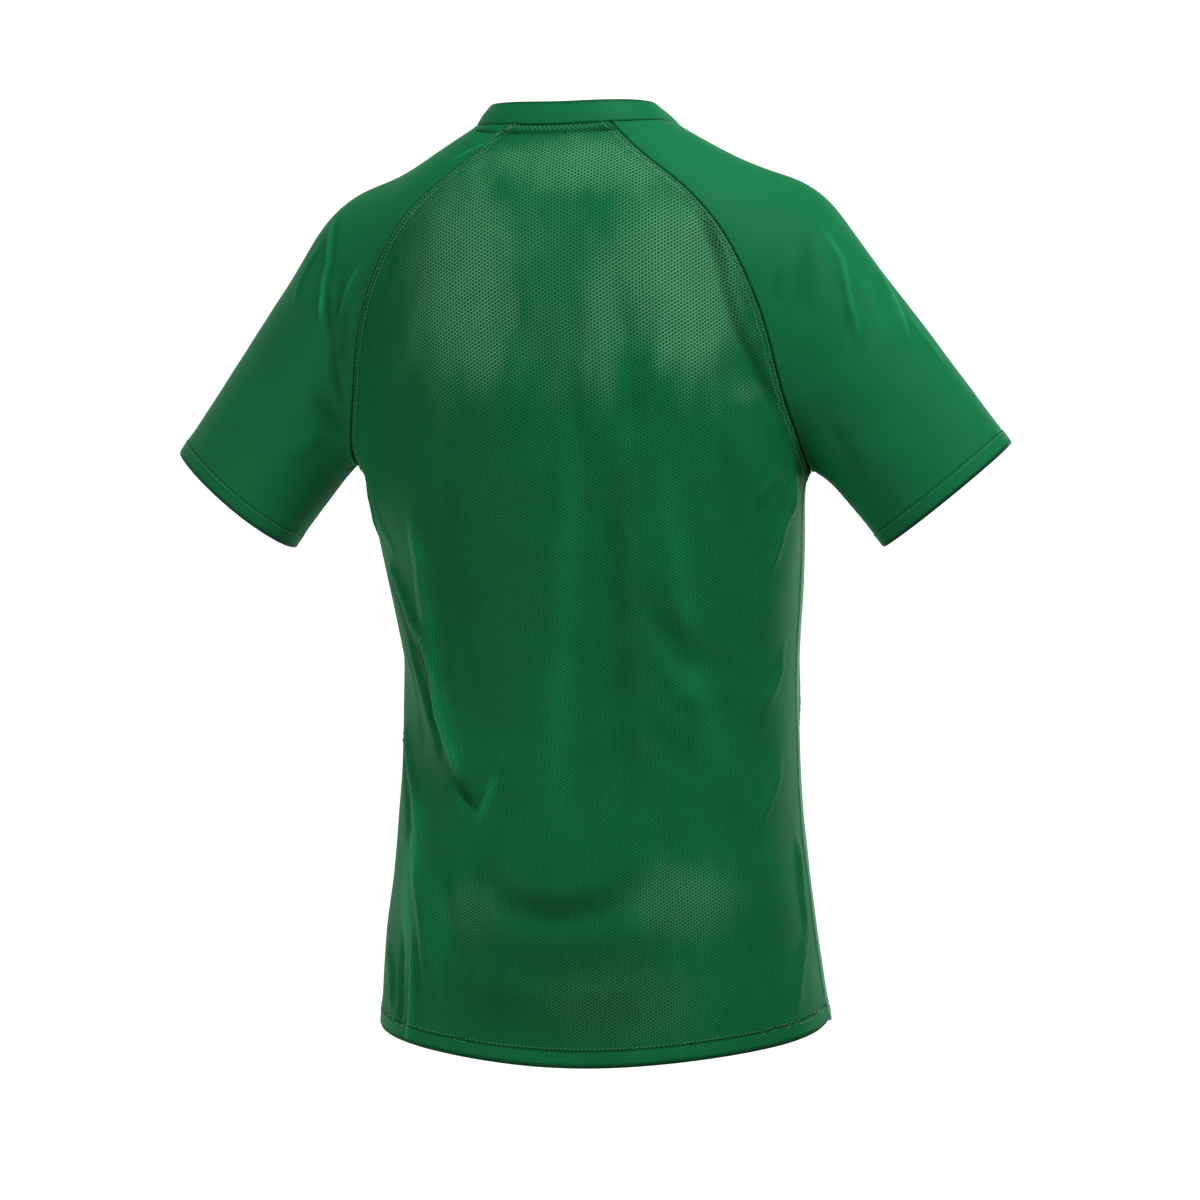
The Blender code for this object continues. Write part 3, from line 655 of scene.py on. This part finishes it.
plainSeam = {"groove": 0, "ridge": 0, "band": 0, "step": 0, "rows": (), "sink": 0, "pucker": 0, "dark": 0,
             "edge": 0, "line": 0}
bodyKinds = {"armpitLeft-neckLeft": "raglanBody", "armpitRight-neckRight": "raglanBody",
             "neckLeft-neckRight": "neck", "armpitLeft-hemLeft": "side", "armpitRight-hemRight": "side",
             "hemLeft-hemRight": "hem"}
sleeveKinds = {"armpit-neckBack": "raglanSleeve", "armpit-neckFront": "raglanSleeve",
               "neckBack-neckFront": "neckSleeve", "ring": "cuff", "split": "underarm"}
seamKinds = {"back": bodyKinds, "front": bodyKinds, "sleeve_left": sleeveKinds, "sleeve_right": sleeveKinds,
             "collar": {}}


# mm: how wide the relief of a seam and its painted shade are, where the ridge lies and how long one pucker
# is
relief = {"groove": 0.8, "ridgeAt": 1.9, "ridge": 0.9, "row": 0.9, "dark": 1.2, "hemDark": 2.3,
          "pucker": 7.5}


def seamHeights(places, line, seam, seed):
    # the relief beside one sewn edge, and the painted shade that darkens the cloth there
    away, near = distances(places, line, 24 * mm)
    d = away / mm
    lift = -seam["groove"] * bell(d, relief["groove"])
    lift += seam["ridge"] * bell(d - relief["ridgeAt"], relief["ridge"])
    shade = seam["dark"] * bell(d, relief["hemDark" if seam["line"] > 0.3 else "dark"])
    if seam["band"]:
        lift += seam["step"] * np.clip((seam["band"] - d) / 0.9 + 0.5, 0, 1) * np.clip(d / 1.4, 0, 1)
        shade += seam["edge"] * bell(d - seam["band"] - 0.5, 1)
    for row in seam["rows"]:
        lift -= seam["sink"] * bell(d - row, relief["row"])
        shade += seam["line"] * bell(d - row + 0.2, 1.1)
    # short puckers that the sewing draws in, uneven along the seam and fading away from it
    along = near * edgeStep
    wave = np.sin(along * 2 * math.pi / relief["pucker"] + 2.5 * wander(line, 30, seed)[near])
    patchy = np.clip(0.6 + 1.2 * wander(line, 45, seed + 9)[near], 0, 1.4)
    reach = seam["rows"][-1] if seam["rows"] else 0.0
    fade = bell(np.maximum(np.abs(d - reach) - 1.5, 0), 4.5) * np.clip(d / 2, 0, 1)
    known = np.isfinite(d)
    lift += seam["pucker"] * wave * patchy * np.where(known, fade, 0)
    return np.where(known, lift, 0) * mm, np.where(known, shade, 0)


def splitLine(piece):
    # the marked seam along a tube, as evenly spread points
    linked = neighbours(edge.vertices for edge in piece.data.edges if edge.use_seam)
    start = next(v for v, ends in linked.items() if len(ends) == 1)
    return evenly(points(piece.data)[walked(linked, start)], edgeStep * mm)


# painted shade on the collar, how dark and how wide: along its seam and along its folded top
collarShades = {"ring_low": (0.35, 1.0), "ring_high": (0.85, 1.7)}  # along its seam and its folded top
shell = shellTree(cloth.values())
# painted shade and painted highlight for each piece: from its folds and seams, or along the collar's two
# lines
shaded, paintedHighlights = {}, {}
for node, piece in cloth.items():
    p, out = points(piece.data), outward(piece.data)
    lift, shaded[node], paintedHighlights[node] = np.zeros(len(p)), np.zeros(len(p)), np.zeros(len(p))
    if node != "collar":
        if "split" in cut[node]:
            edges[node]["split"] = splitLine(piece)
        lift, paintedHighlights[node], shaded[node] = foldHeights(p, shell)
        lift += drift["slow"] * mm * wander(p, drift["slowSize"], 3)
        lift += drift["quick"] * mm * wander(p, drift["quickSize"], 7)
        for name, line in edges[node].items():
            kind = seamKinds[node][name.split("_")[0]]
            raised, shade = seamHeights(p, line, {**plainSeam, **seams[kind]}, len(name))
            lift += raised
            shaded[node] = np.maximum(shaded[node], shade)
    else:
        for name, line in edges[node].items():
            away = distances(p, line, 8 * mm)[0] / mm
            dark, wide = collarShades[name]
            shaded[node] = np.maximum(shaded[node], dark * bell(away, wide))
    movePoints(piece.data, p + out * lift[:, None])


# where the knit is drawn tight over the body: across, height, half width, half height in mm, and strength
paleZones = (
    (-34, -46, 84, 24, 0.65), (63, -128, 48, 92, 0.62), (50, -150, 28, 56, 0.45),
    (-104, -126, 40, 84, 0.75), (-98, -166, 28, 38, 0.52), (-70, -118, 29, 62, 0.5),
    (-41, -160, 17, 60, 0.5), (0, -90, 40, 36, 0.14), (-8, -160, 30, 62, 0.2), (-138, -212, 10, 9, 0.35),
    (61, -589, 26, 24, 0.22), (-95, -578, 42, 30, 0.34), (-50, -652, 62, 34, 0.2),
)


def zoneStrength(places):
    total = np.zeros(len(places))
    stretched = places * (1, 1, 0.35)  # the zones end in upright streaks
    blur = 1 + 0.3 * wander(stretched, 12, 21)
    for across, height, wide, tall, strength in paleZones:
        q = np.hypot((places[:, 0] / mm - across) / wide, (places[:, 2] / mm - height) / tall) * blur
        soft = np.clip(1.3 - q, 0, 1)
        total = 1 - (1 - total) * (1 - strength * soft * soft * (3 - 2 * soft))
    return np.clip(total, 0, 1)


def keepValues(mesh, name, values):
    # one number for each vertex, for the materials
    mesh.attributes.new(name, "FLOAT", "POINT").data.foreach_set("value", np.asarray(values, float))


bands = {"hem": 13.6, "strip": 7.6, "soft": 0.8}  # mm: how wide the doubled hem and the neck strip are
for node, piece in cloth.items():
    p = points(piece.data)
    keepValues(piece.data, "tight", zoneStrength(p) if node == "back" else np.zeros(len(p)))
    doubled = np.zeros(len(p))
    for name, line in edges[node].items():
        if seamKinds[node].get(name.split("_")[0]) in ("hem", "cuff"):
            away = distances(p, line, 16 * mm)[0] / mm
            doubled = np.maximum(doubled, np.clip((bands["hem"] - away) / bands["soft"], 0, 1))
    keepValues(piece.data, "doubled", doubled)
    # painted shade and painted highlight, kept for the materials
    keepValues(piece.data, "shaded", np.clip(shaded[node], 0, 1))
    keepValues(piece.data, "paintedHighlights", np.clip(paintedHighlights[node], 0, 1))
    if node in ("back", "front"):
        away = distances(p, edges[node]["neckLeft-neckRight"], 10 * mm)[0] / mm
        keepValues(piece.data, "strip", np.clip((bands["strip"] - away) / bands["soft"], 0, 1))


sleeveEdges = ("armpit-neckBack", "armpit-neckFront")
allowances = {  # edges, how far under the neighbour's cloth they lie, and how wide they are, in mm
    "front": (("armpitLeft-hemLeft", "armpitRight-hemRight"), 1.0, 3.5),
    "sleeve_left": (sleeveEdges, 1.0, 3.5),
    "sleeve_right": (sleeveEdges, 1.0, 3.5),
    "collar": (("ring_low",), 0.9, 3.0),
}


def facing(piece, line):
    # the outward direction along an edge line, and the direction into the piece
    tree = shellTree([piece])
    out = np.array([tree.find_nearest(place)[1] for place in line])
    inward = np.cross(out, np.gradient(line, axis=0))
    inward /= np.linalg.norm(inward, axis=1, keepdims=True)
    middle = len(line) // 2
    trial = [tree.find_nearest(line[middle] + way * inward[middle] * 6 * mm)[3] for way in (1, -1)]
    return out, inward if trial[0] < trial[1] else -inward


def extrudedRim(piece, chosen):
    # extrudes the open edges between chosen vertices; gives the new vertices and the ones they came from
    mesh = piece.data
    used = facesByEdge(mesh)
    picked = [bool(used.get(edge.key) == 1 and chosen[edge.vertices[0]] and chosen[edge.vertices[1]])
              for edge in mesh.edges]
    nothingPicked(piece, "EDGE")
    before = len(mesh.vertices)
    mesh.edges.foreach_set("select", picked)
    editing()
    bpy.ops.mesh.extrude_edges_move()
    editing(False)
    p = points(mesh)
    old = np.nonzero(chosen)[0]
    tree = treeOf(p[old])
    new = np.arange(before, len(p))
    return new, old[[tree.find(p[v])[1] for v in new]]


def turnedUnder(piece, line, inward, under, wide):
    # extrudes a sewn edge twice: down behind the cloth, then out under the piece that it is sewn to
    mesh = piece.data
    p, out = points(mesh), outward(mesh)
    rim = sorted({v for loop in rimVertices(mesh) for v in loop})
    away, near = distances(p[rim], line, 3 * mm)
    chosen = np.zeros(len(p), bool)
    chosen[np.array(rim)[away < 1.5 * mm]] = True
    beyond = np.zeros((len(p), 3))
    beyond[rim] = -inward[near]
    first, source = extrudedRim(piece, chosen)
    p = points(mesh)
    p[first] -= out[source] * under * mm
    movePoints(mesh, p)
    chosen = np.zeros(len(p), bool)
    chosen[first] = True
    second, origin = extrudedRim(piece, chosen)
    p = points(mesh)
    p[second] += beyond[source[origin - first[0]]] * wide * mm
    movePoints(mesh, p)


stitch = {"sides": 6, "sunk": 0.12}  # sides of the thread, and how far it lies in the cloth in mm
stitchKinds = {  # mm: length, thickness and pitch along the row; lean turns it from the row, to and fro
    "run": {"long": 2.1, "thick": 0.6, "pitch": 3.1, "lean": 0},
    "cover": {"long": 5.2, "thick": 0.4, "pitch": 1.7, "lean": 62},
}
stitchRows = {  # piece, edge, distances in from it, and how its stitches lie
    "raglan_stitches": [(node, "armpit" + side + "-neck" + side, (2.6, 6.8), "run")
                        for node in ("back", "front") for side in ("Left", "Right")],
    "hem_stitches": [(node, "hemLeft-hemRight", (13.9,), "run") for node in ("back", "front")],
    "cuff_stitches": [(node, "ring", (13.9,), "run") for node in ("sleeve_left", "sleeve_right")],
    "neck_stitches": [(node, "neckLeft-neckRight", (3.8,), "cover") for node in ("back", "front")],
}


def oneStitch(kind):
    # a short plump thread that dips into the cloth at both ends, along x
    deselectAll()
    bpy.ops.mesh.primitive_cylinder_add(vertices=stitch["sides"], radius=kind["thick"] / 2 * mm,
                                        depth=kind["long"] * mm, rotation=(0, math.pi / 2, 0))
    piece = bpy.context.object
    bpy.ops.object.transform_apply(location=True, rotation=True, scale=True)
    editing()
    allPicked()
    bpy.ops.mesh.bisect(plane_co=(0, 0, 0), plane_no=(1, 0, 0))
    editing(False)
    p = points(piece.data)
    tip = np.abs(p[:, 0]) > kind["long"] * 0.4 * mm
    p[tip, 1:] *= 0.55
    p[tip, 2] -= kind["thick"] * 0.45 * mm
    faces = [list(face.vertices) for face in piece.data.polygons]
    bpy.data.objects.remove(piece)
    return p, faces


def rowOnCloth(tree, line, inward, distance):
    # a line of places on the cloth at a distance in from an edge, with the outward direction
    found = [tree.find_nearest(place) for place in line + inward * distance * mm]
    return np.array([hit[0] for hit in found]), np.array([hit[1] for hit in found])


def sewn(name, rows):
    # copies of one stitch along several rows, joined in one mesh
    verts, faces = [], []
    for node, edgeName, away, kindName in rows:
        kind = stitchKinds[kindName]
        model, modelFaces = oneStitch(kind)
        piece = cloth[node]
        tree = shellTree([piece])
        line = next(line for key, line in edges[node].items() if key.split("_")[0] == edgeName)
        inward = facing(piece, line)[1]
        for distance in away:
            places, normals = rowOnCloth(tree, line, inward, distance)
            along = lengthAlong(places)
            at = np.arange(kind["pitch"], along[-1] / mm, kind["pitch"]) * mm
            places, normals = readAt(at, along, places), readAt(at, along, normals)
            ahead = np.gradient(places, axis=0)
            for i in range(1, len(places) - 1):
                z = normals[i] / np.linalg.norm(normals[i])
                x = ahead[i] - z * (ahead[i] @ z)
                x /= np.linalg.norm(x)
                y = np.cross(z, x)
                lean = math.radians(kind["lean"]) * (-1) ** i
                x, y = x * math.cos(lean) + y * math.sin(lean), y * math.cos(lean) - x * math.sin(lean)
                start = len(verts)
                lifted = places[i] + z * (kind["thick"] / 2 - stitch["sunk"]) * mm
                verts.extend(model @ np.stack([x, y, z]) + lifted)
                faces.extend([[start + v for v in face] for face in modelFaces])
    mesh = bpy.data.meshes.new(name)
    mesh.from_pydata([tuple(v) for v in verts], [], faces)
    piece = placed(name, mesh)
    workOn(piece)
    editing()
    allPicked()
    bpy.ops.mesh.normals_make_consistent(inside=False)
    editing(False)
    mesh.shade_smooth()
    return piece


stitches = {name: sewn(name, rows) for name, rows in stitchRows.items()}

# the stitches are laid and the ways inward taken before any edge is extruded, because the order of an
# extrusion's new vertices differs from run to run
for node, (names, under, wide) in allowances.items():
    inward = {name: facing(cloth[node], edges[node][name])[1] for name in names}
    for name in names:
        turnedUnder(cloth[node], edges[node][name], inward[name], under, wide)


colours = {
    "meshKnit": "#0b6839",
    "meshKnot": "#197c4c",
    "meshTight": "#2f7f4f",
    "meshTightKnot": "#8fcfa2",
    "meshHole": "#04381c",
    "plainKnit": "#0c7142",
    "strip": "#0a5f34",
    "thread": "#238350",
    "sheen": "#5fd493",
}


def addNode(tree, kind, inputs=None, **settings):
    # a node with its settings; an input that is an output socket is linked, any other is set
    node = tree.nodes.new("ShaderNode" + kind)
    for key, value in settings.items():
        setattr(node, key, value)
    for key, value in (inputs or {}).items():
        if isinstance(value, bpy.types.NodeSocket):
            tree.links.new(value, node.inputs[key])
        else:
            node.inputs[key].default_value = value
    return node


def attribute(tree, name):
    return addNode(tree, "Attribute", attribute_name=name).outputs["Fac"]


def ranged(tree, value, low, high):
    # a value from 0 to 1, as one from low to high
    return addNode(tree, "MapRange", {"Value": value, "To Min": low, "To Max": high}).outputs[0]


def step(tree, value, low, high):
    # 0 below low and 1 above high, softly
    return addNode(tree, "MapRange", {"Value": value, "From Min": low, "From Max": high},
                   interpolation_type="SMOOTHSTEP").outputs[0]


def maths(tree, operation, a, b):
    return addNode(tree, "Math", {0: a, 1: b}, operation=operation).outputs[0]


def times(tree, a, b):
    return maths(tree, "MULTIPLY", a, b)


def vectorMaths(tree, operation, a, b=(0, 0, 0)):
    return addNode(tree, "VectorMath", {0: a, 1: b}, operation=operation).outputs[0]


def scaled(tree, a, amount):
    return addNode(tree, "VectorMath", {0: a, 3: amount}, operation="SCALE").outputs[0]


def blend(tree, share, a, b):
    # colour a where share is 0 and b where it is 1; a name is one of the colours
    a, b = (linear(colours[c]) if isinstance(c, str) else c for c in (a, b))
    return addNode(tree, "Mix", {"Factor": share, 6: a, 7: b}, data_type="RGBA").outputs[2]


def newMaterial(name, **settings):
    # its own settings on the shader; an underscore stands for a space
    material = bpy.data.materials.new(name)
    material.use_nodes = True
    shader = material.node_tree.nodes["Principled BSDF"]
    for key, value in settings.items():
        shader.inputs[key.replace("_", " ")].default_value = value
    return material, material.node_tree, shader


def stripColour(tree, knit):
    # the folded strip that covers the neck seam: the same cloth, pressed flat and darker
    return blend(tree, attribute(tree, "strip"), knit, "strip")


def paintedShadeAndHighlight(tree, knit, varied):
    # the knit's own unevenness, then painted shade along seams, stitching and hem edges, in and beside
    # folds and over the lower back, and painted highlights on the crests of folds and streaks
    # painted shade darkens the colour to as little as 0.22 of it, and painted highlight lightens it up to
    # 2.6 times
    light = ranged(tree, attribute(tree, "shaded"), 1.0, 0.22)
    light = times(tree, light, ranged(tree, attribute(tree, "paintedHighlights"), 1.0, 2.6))
    return scaled(tree, knit, times(tree, light, varied))


eyelets = {  # pitch and sway in mm, lean in degrees, hole, edge and knot in shares of the pitch
    "pitch": 2.5, "sway": 0.9, "lean": -32, "hole": 0.25, "edge": 0.16, "knot": (0.40, 0.56),
}


def eyeletKnit():
    # polyester eyelet knit: dull, with a close hexagonal net of pinholes; the threads between them catch
    # the light where the cloth is drawn tight
    material, tree, shader = newMaterial(
        "eyelet_polyester_knit", Roughness=0.7, Specular_IOR_Level=0.04, Sheen_Weight=0.11,
        Sheen_Roughness=0.4, Sheen_Tint=linear(colours["sheen"]))
    pitch = eyelets["pitch"] * mm
    uv = addNode(tree, "UVMap", uv_map="cloth").outputs[0]
    sway = addNode(tree, "TexNoise", {"Vector": uv, "Scale": 60.0, "Detail": 2.0}).outputs["Color"]
    loose = scaled(tree, vectorMaths(tree, "SUBTRACT", sway, (0.5, 0.5, 0.5)), eyelets["sway"] * mm)
    uv = vectorMaths(tree, "ADD", uv, loose)
    lean = (0, 0, math.radians(eyelets["lean"]))
    tilted = addNode(tree, "Mapping", {"Vector": uv, "Rotation": lean}).outputs[0]
    away = []
    for half in (0, 0.5):  # two square lattices, one half a step on, make the hexagonal one
        grid = addNode(tree, "Mapping", {"Vector": tilted, "Location": (half, half, 0), "Scale":
                       (1 / pitch, 1 / (pitch * math.sqrt(3)), 1)}).outputs[0]
        middle = vectorMaths(tree, "SUBTRACT", vectorMaths(tree, "FRACTION", grid), (0.5, 0.5, 0))
        even = vectorMaths(tree, "MULTIPLY", middle, (0.92, 1.06 * math.sqrt(3), 0))
        away.append(addNode(tree, "VectorMath", {0: even}, operation="LENGTH").outputs["Value"])
    nearest = maths(tree, "MINIMUM", *away)
    hole = step(tree, nearest, eyelets["hole"] + eyelets["edge"], eyelets["hole"] - eyelets["edge"])
    knot = step(tree, nearest, *eyelets["knot"])
    tight, doubled = attribute(tree, "tight"), attribute(tree, "doubled")
    patchy = addNode(tree, "TexNoise", {"Vector": uv, "Scale": 24.0, "Detail": 4.0}).outputs["Fac"]
    net = blend(tree, knot, blend(tree, tight, "meshKnit", "meshTight"),
                blend(tree, tight, "meshKnot", "meshTightKnot"))
    seen = times(tree, ranged(tree, tight, 0.5, 0.72), ranged(tree, doubled, 1.0, 0.4))
    pinned = blend(tree, times(tree, hole, seen), net, "meshHole")
    toned = times(tree, ranged(tree, patchy, 0.80, 1.20), ranged(tree, doubled, 1.0, 1.12))
    tree.links.new(paintedShadeAndHighlight(tree, stripColour(tree, pinned), toned), shader.inputs["Base Color"])
    bump = addNode(tree, "Bump", {"Height": hole, "Strength": 0.4, "Distance": 0.3 * mm}, invert=True)
    tree.links.new(bump.outputs[0], shader.inputs["Normal"])
    return material


def interlockKnit():
    # polyester interlock: close and smooth, with fine upright wales and a soft sheen
    material, tree, shader = newMaterial(
        "smooth_polyester_interlock", Roughness=0.6, Specular_IOR_Level=0.06, Sheen_Weight=0.13,
        Sheen_Roughness=0.4, Sheen_Tint=linear(colours["sheen"]))
    wale = 1.4 * mm  # the real one is 0.7 mm; coarser, to show at this size
    uv = addNode(tree, "UVMap", uv_map="cloth").outputs[0]
    grid = addNode(tree, "Mapping", {"Vector": uv, "Scale": (1 / wale, 0.6 / wale, 1)}).outputs[0]
    # at this scale one wave is as wide as a wale
    ribs = addNode(tree, "TexWave", {"Vector": grid, "Scale": 0.3183, "Distortion": 1.2, "Detail": 1.0,
                                     "Detail Scale": 2.0}).outputs["Fac"]
    patchy = addNode(tree, "TexNoise", {"Vector": uv, "Scale": 22.0, "Detail": 4.0}).outputs["Fac"]
    both = times(tree, ranged(tree, patchy, 0.88, 1.12), ranged(tree, ribs, 0.93, 1.05))
    plain = addNode(tree, "RGB").outputs[0]
    plain.default_value = linear(colours["plainKnit"])
    tree.links.new(paintedShadeAndHighlight(tree, stripColour(tree, plain), both), shader.inputs["Base Color"])
    bump = addNode(tree, "Bump", {"Height": ribs, "Strength": 0.12, "Distance": 0.15 * mm})
    tree.links.new(bump.outputs[0], shader.inputs["Normal"])
    return material


def sewingThread():
    # spun polyester sewing thread, dyed to match: a dull shine
    return newMaterial("spun_polyester_thread", Base_Color=linear(colours["thread"]), Roughness=0.45,
                       Sheen_Weight=0.3)[0]


knits = {"eyelet_knit": eyeletKnit(), "plain_knit": interlockKnit()}

for node, piece in cloth.items():
    slot = "eyelet_knit" if node == "back" else "plain_knit"
    applied(piece, "SOLIDIFY", thickness=cut[node]["thick"] * mm, offset=-1.0)
    piece.data.shade_smooth()
    piece.data.materials.append(knits[slot])
    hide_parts(node)
    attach(piece, "root")

thread = sewingThread()
for piece in stitches.values():
    piece.data.materials.append(thread)
    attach(piece, "root")

view = {"azimuth": 193.5, "distance": 3.0, "lens": 120.0, "target": (0.0, -30.0, -362.0), "across": 9.0}
angle = math.radians(view["azimuth"])
toCamera = Vector((math.sin(angle), -math.cos(angle), 0))
toRight = Vector((math.cos(angle), math.sin(angle), 0))
toTop = Vector((0, 0, 1))
aim = Vector(view["target"]) * mm + toRight * view["across"] * mm

camera = placed("camera", bpy.data.cameras.new("camera"))
camera.data.lens = view["lens"]
camera.data.sensor_width = 36
camera.matrix_world = Matrix.Translation(aim + toCamera * view["distance"]) @ Matrix(
    (toRight, toTop, toCamera)).transposed().to_4x4()
scene.camera = camera

sweep = {"floor": -1450, "flat": 4200, "round": 1600, "wall": 4500}  # mm


def paperSweep():
    # a pale floor that curves up into a wall all round
    flat, bend = sweep["flat"] * mm, sweep["round"] * mm
    profile = [(0.1 * mm, 0.0), (flat, 0.0)]
    profile += [(flat + bend * math.sin(t), bend - bend * math.cos(t))
                for t in np.linspace(0.1, math.pi / 2, 10)]
    profile.append((flat + bend, sweep["wall"] * mm))
    mesh = bpy.data.meshes.new("paper_sweep")
    mesh.from_pydata([(x, 0, z + sweep["floor"] * mm) for x, z in profile],
                     [(i, i + 1) for i in range(len(profile) - 1)], [])
    floor = placed("paper_sweep", mesh)
    workOn(floor)
    editing()
    allPicked()
    bpy.ops.mesh.spin(steps=72, angle=2 * math.pi, center=(0, 0, 0), axis=(0, 0, 1))
    allPicked()
    bpy.ops.mesh.remove_doubles(threshold=1 * mm)
    bpy.ops.mesh.normals_make_consistent(inside=True)
    editing(False)
    mesh.shade_smooth()
    # matt white paper that glows evenly, so that it stays plain
    mesh.materials.append(newMaterial("white_background_paper", Base_Color=(0.8, 0.8, 0.8, 1), Roughness=0.9,
                                      Emission_Color=(1, 1, 1, 1), Emission_Strength=0.95)[0])
    floor.visible_diffuse = False


paperSweep()

lamps = {  # right, up, towards the camera, size, watts
    "key": (900, 1700, 1200, 500, 40),
    "top": (100, 1900, -100, 1200, 5),
    "rimRight": (1500, 200, -1500, 600, 18),
    "rimLeft": (-1500, -200, -1200, 500, 9),
    "fill": (-1450, -700, 1200, 650, 12),
}
for name, (right, up, near, size, watts) in lamps.items():
    lamp = placed(name, bpy.data.lights.new(name, "AREA"))
    lamp.location = aim + toRight * right * mm + toTop * up * mm + toCamera * near * mm
    lamp.rotation_euler = (aim - lamp.location).to_track_quat("-Z", "Y").to_euler()
    lamp.data.size = size * mm
    lamp.data.energy = watts
    lamp.visible_camera = False

world = bpy.data.worlds.new("studio")
scene.world = world
world.use_nodes = True
background = world.node_tree.nodes["Background"].inputs
background["Color"].default_value = (1, 1, 1, 1)
background["Strength"].default_value = 0.17
scene.view_settings.view_transform = "Standard"
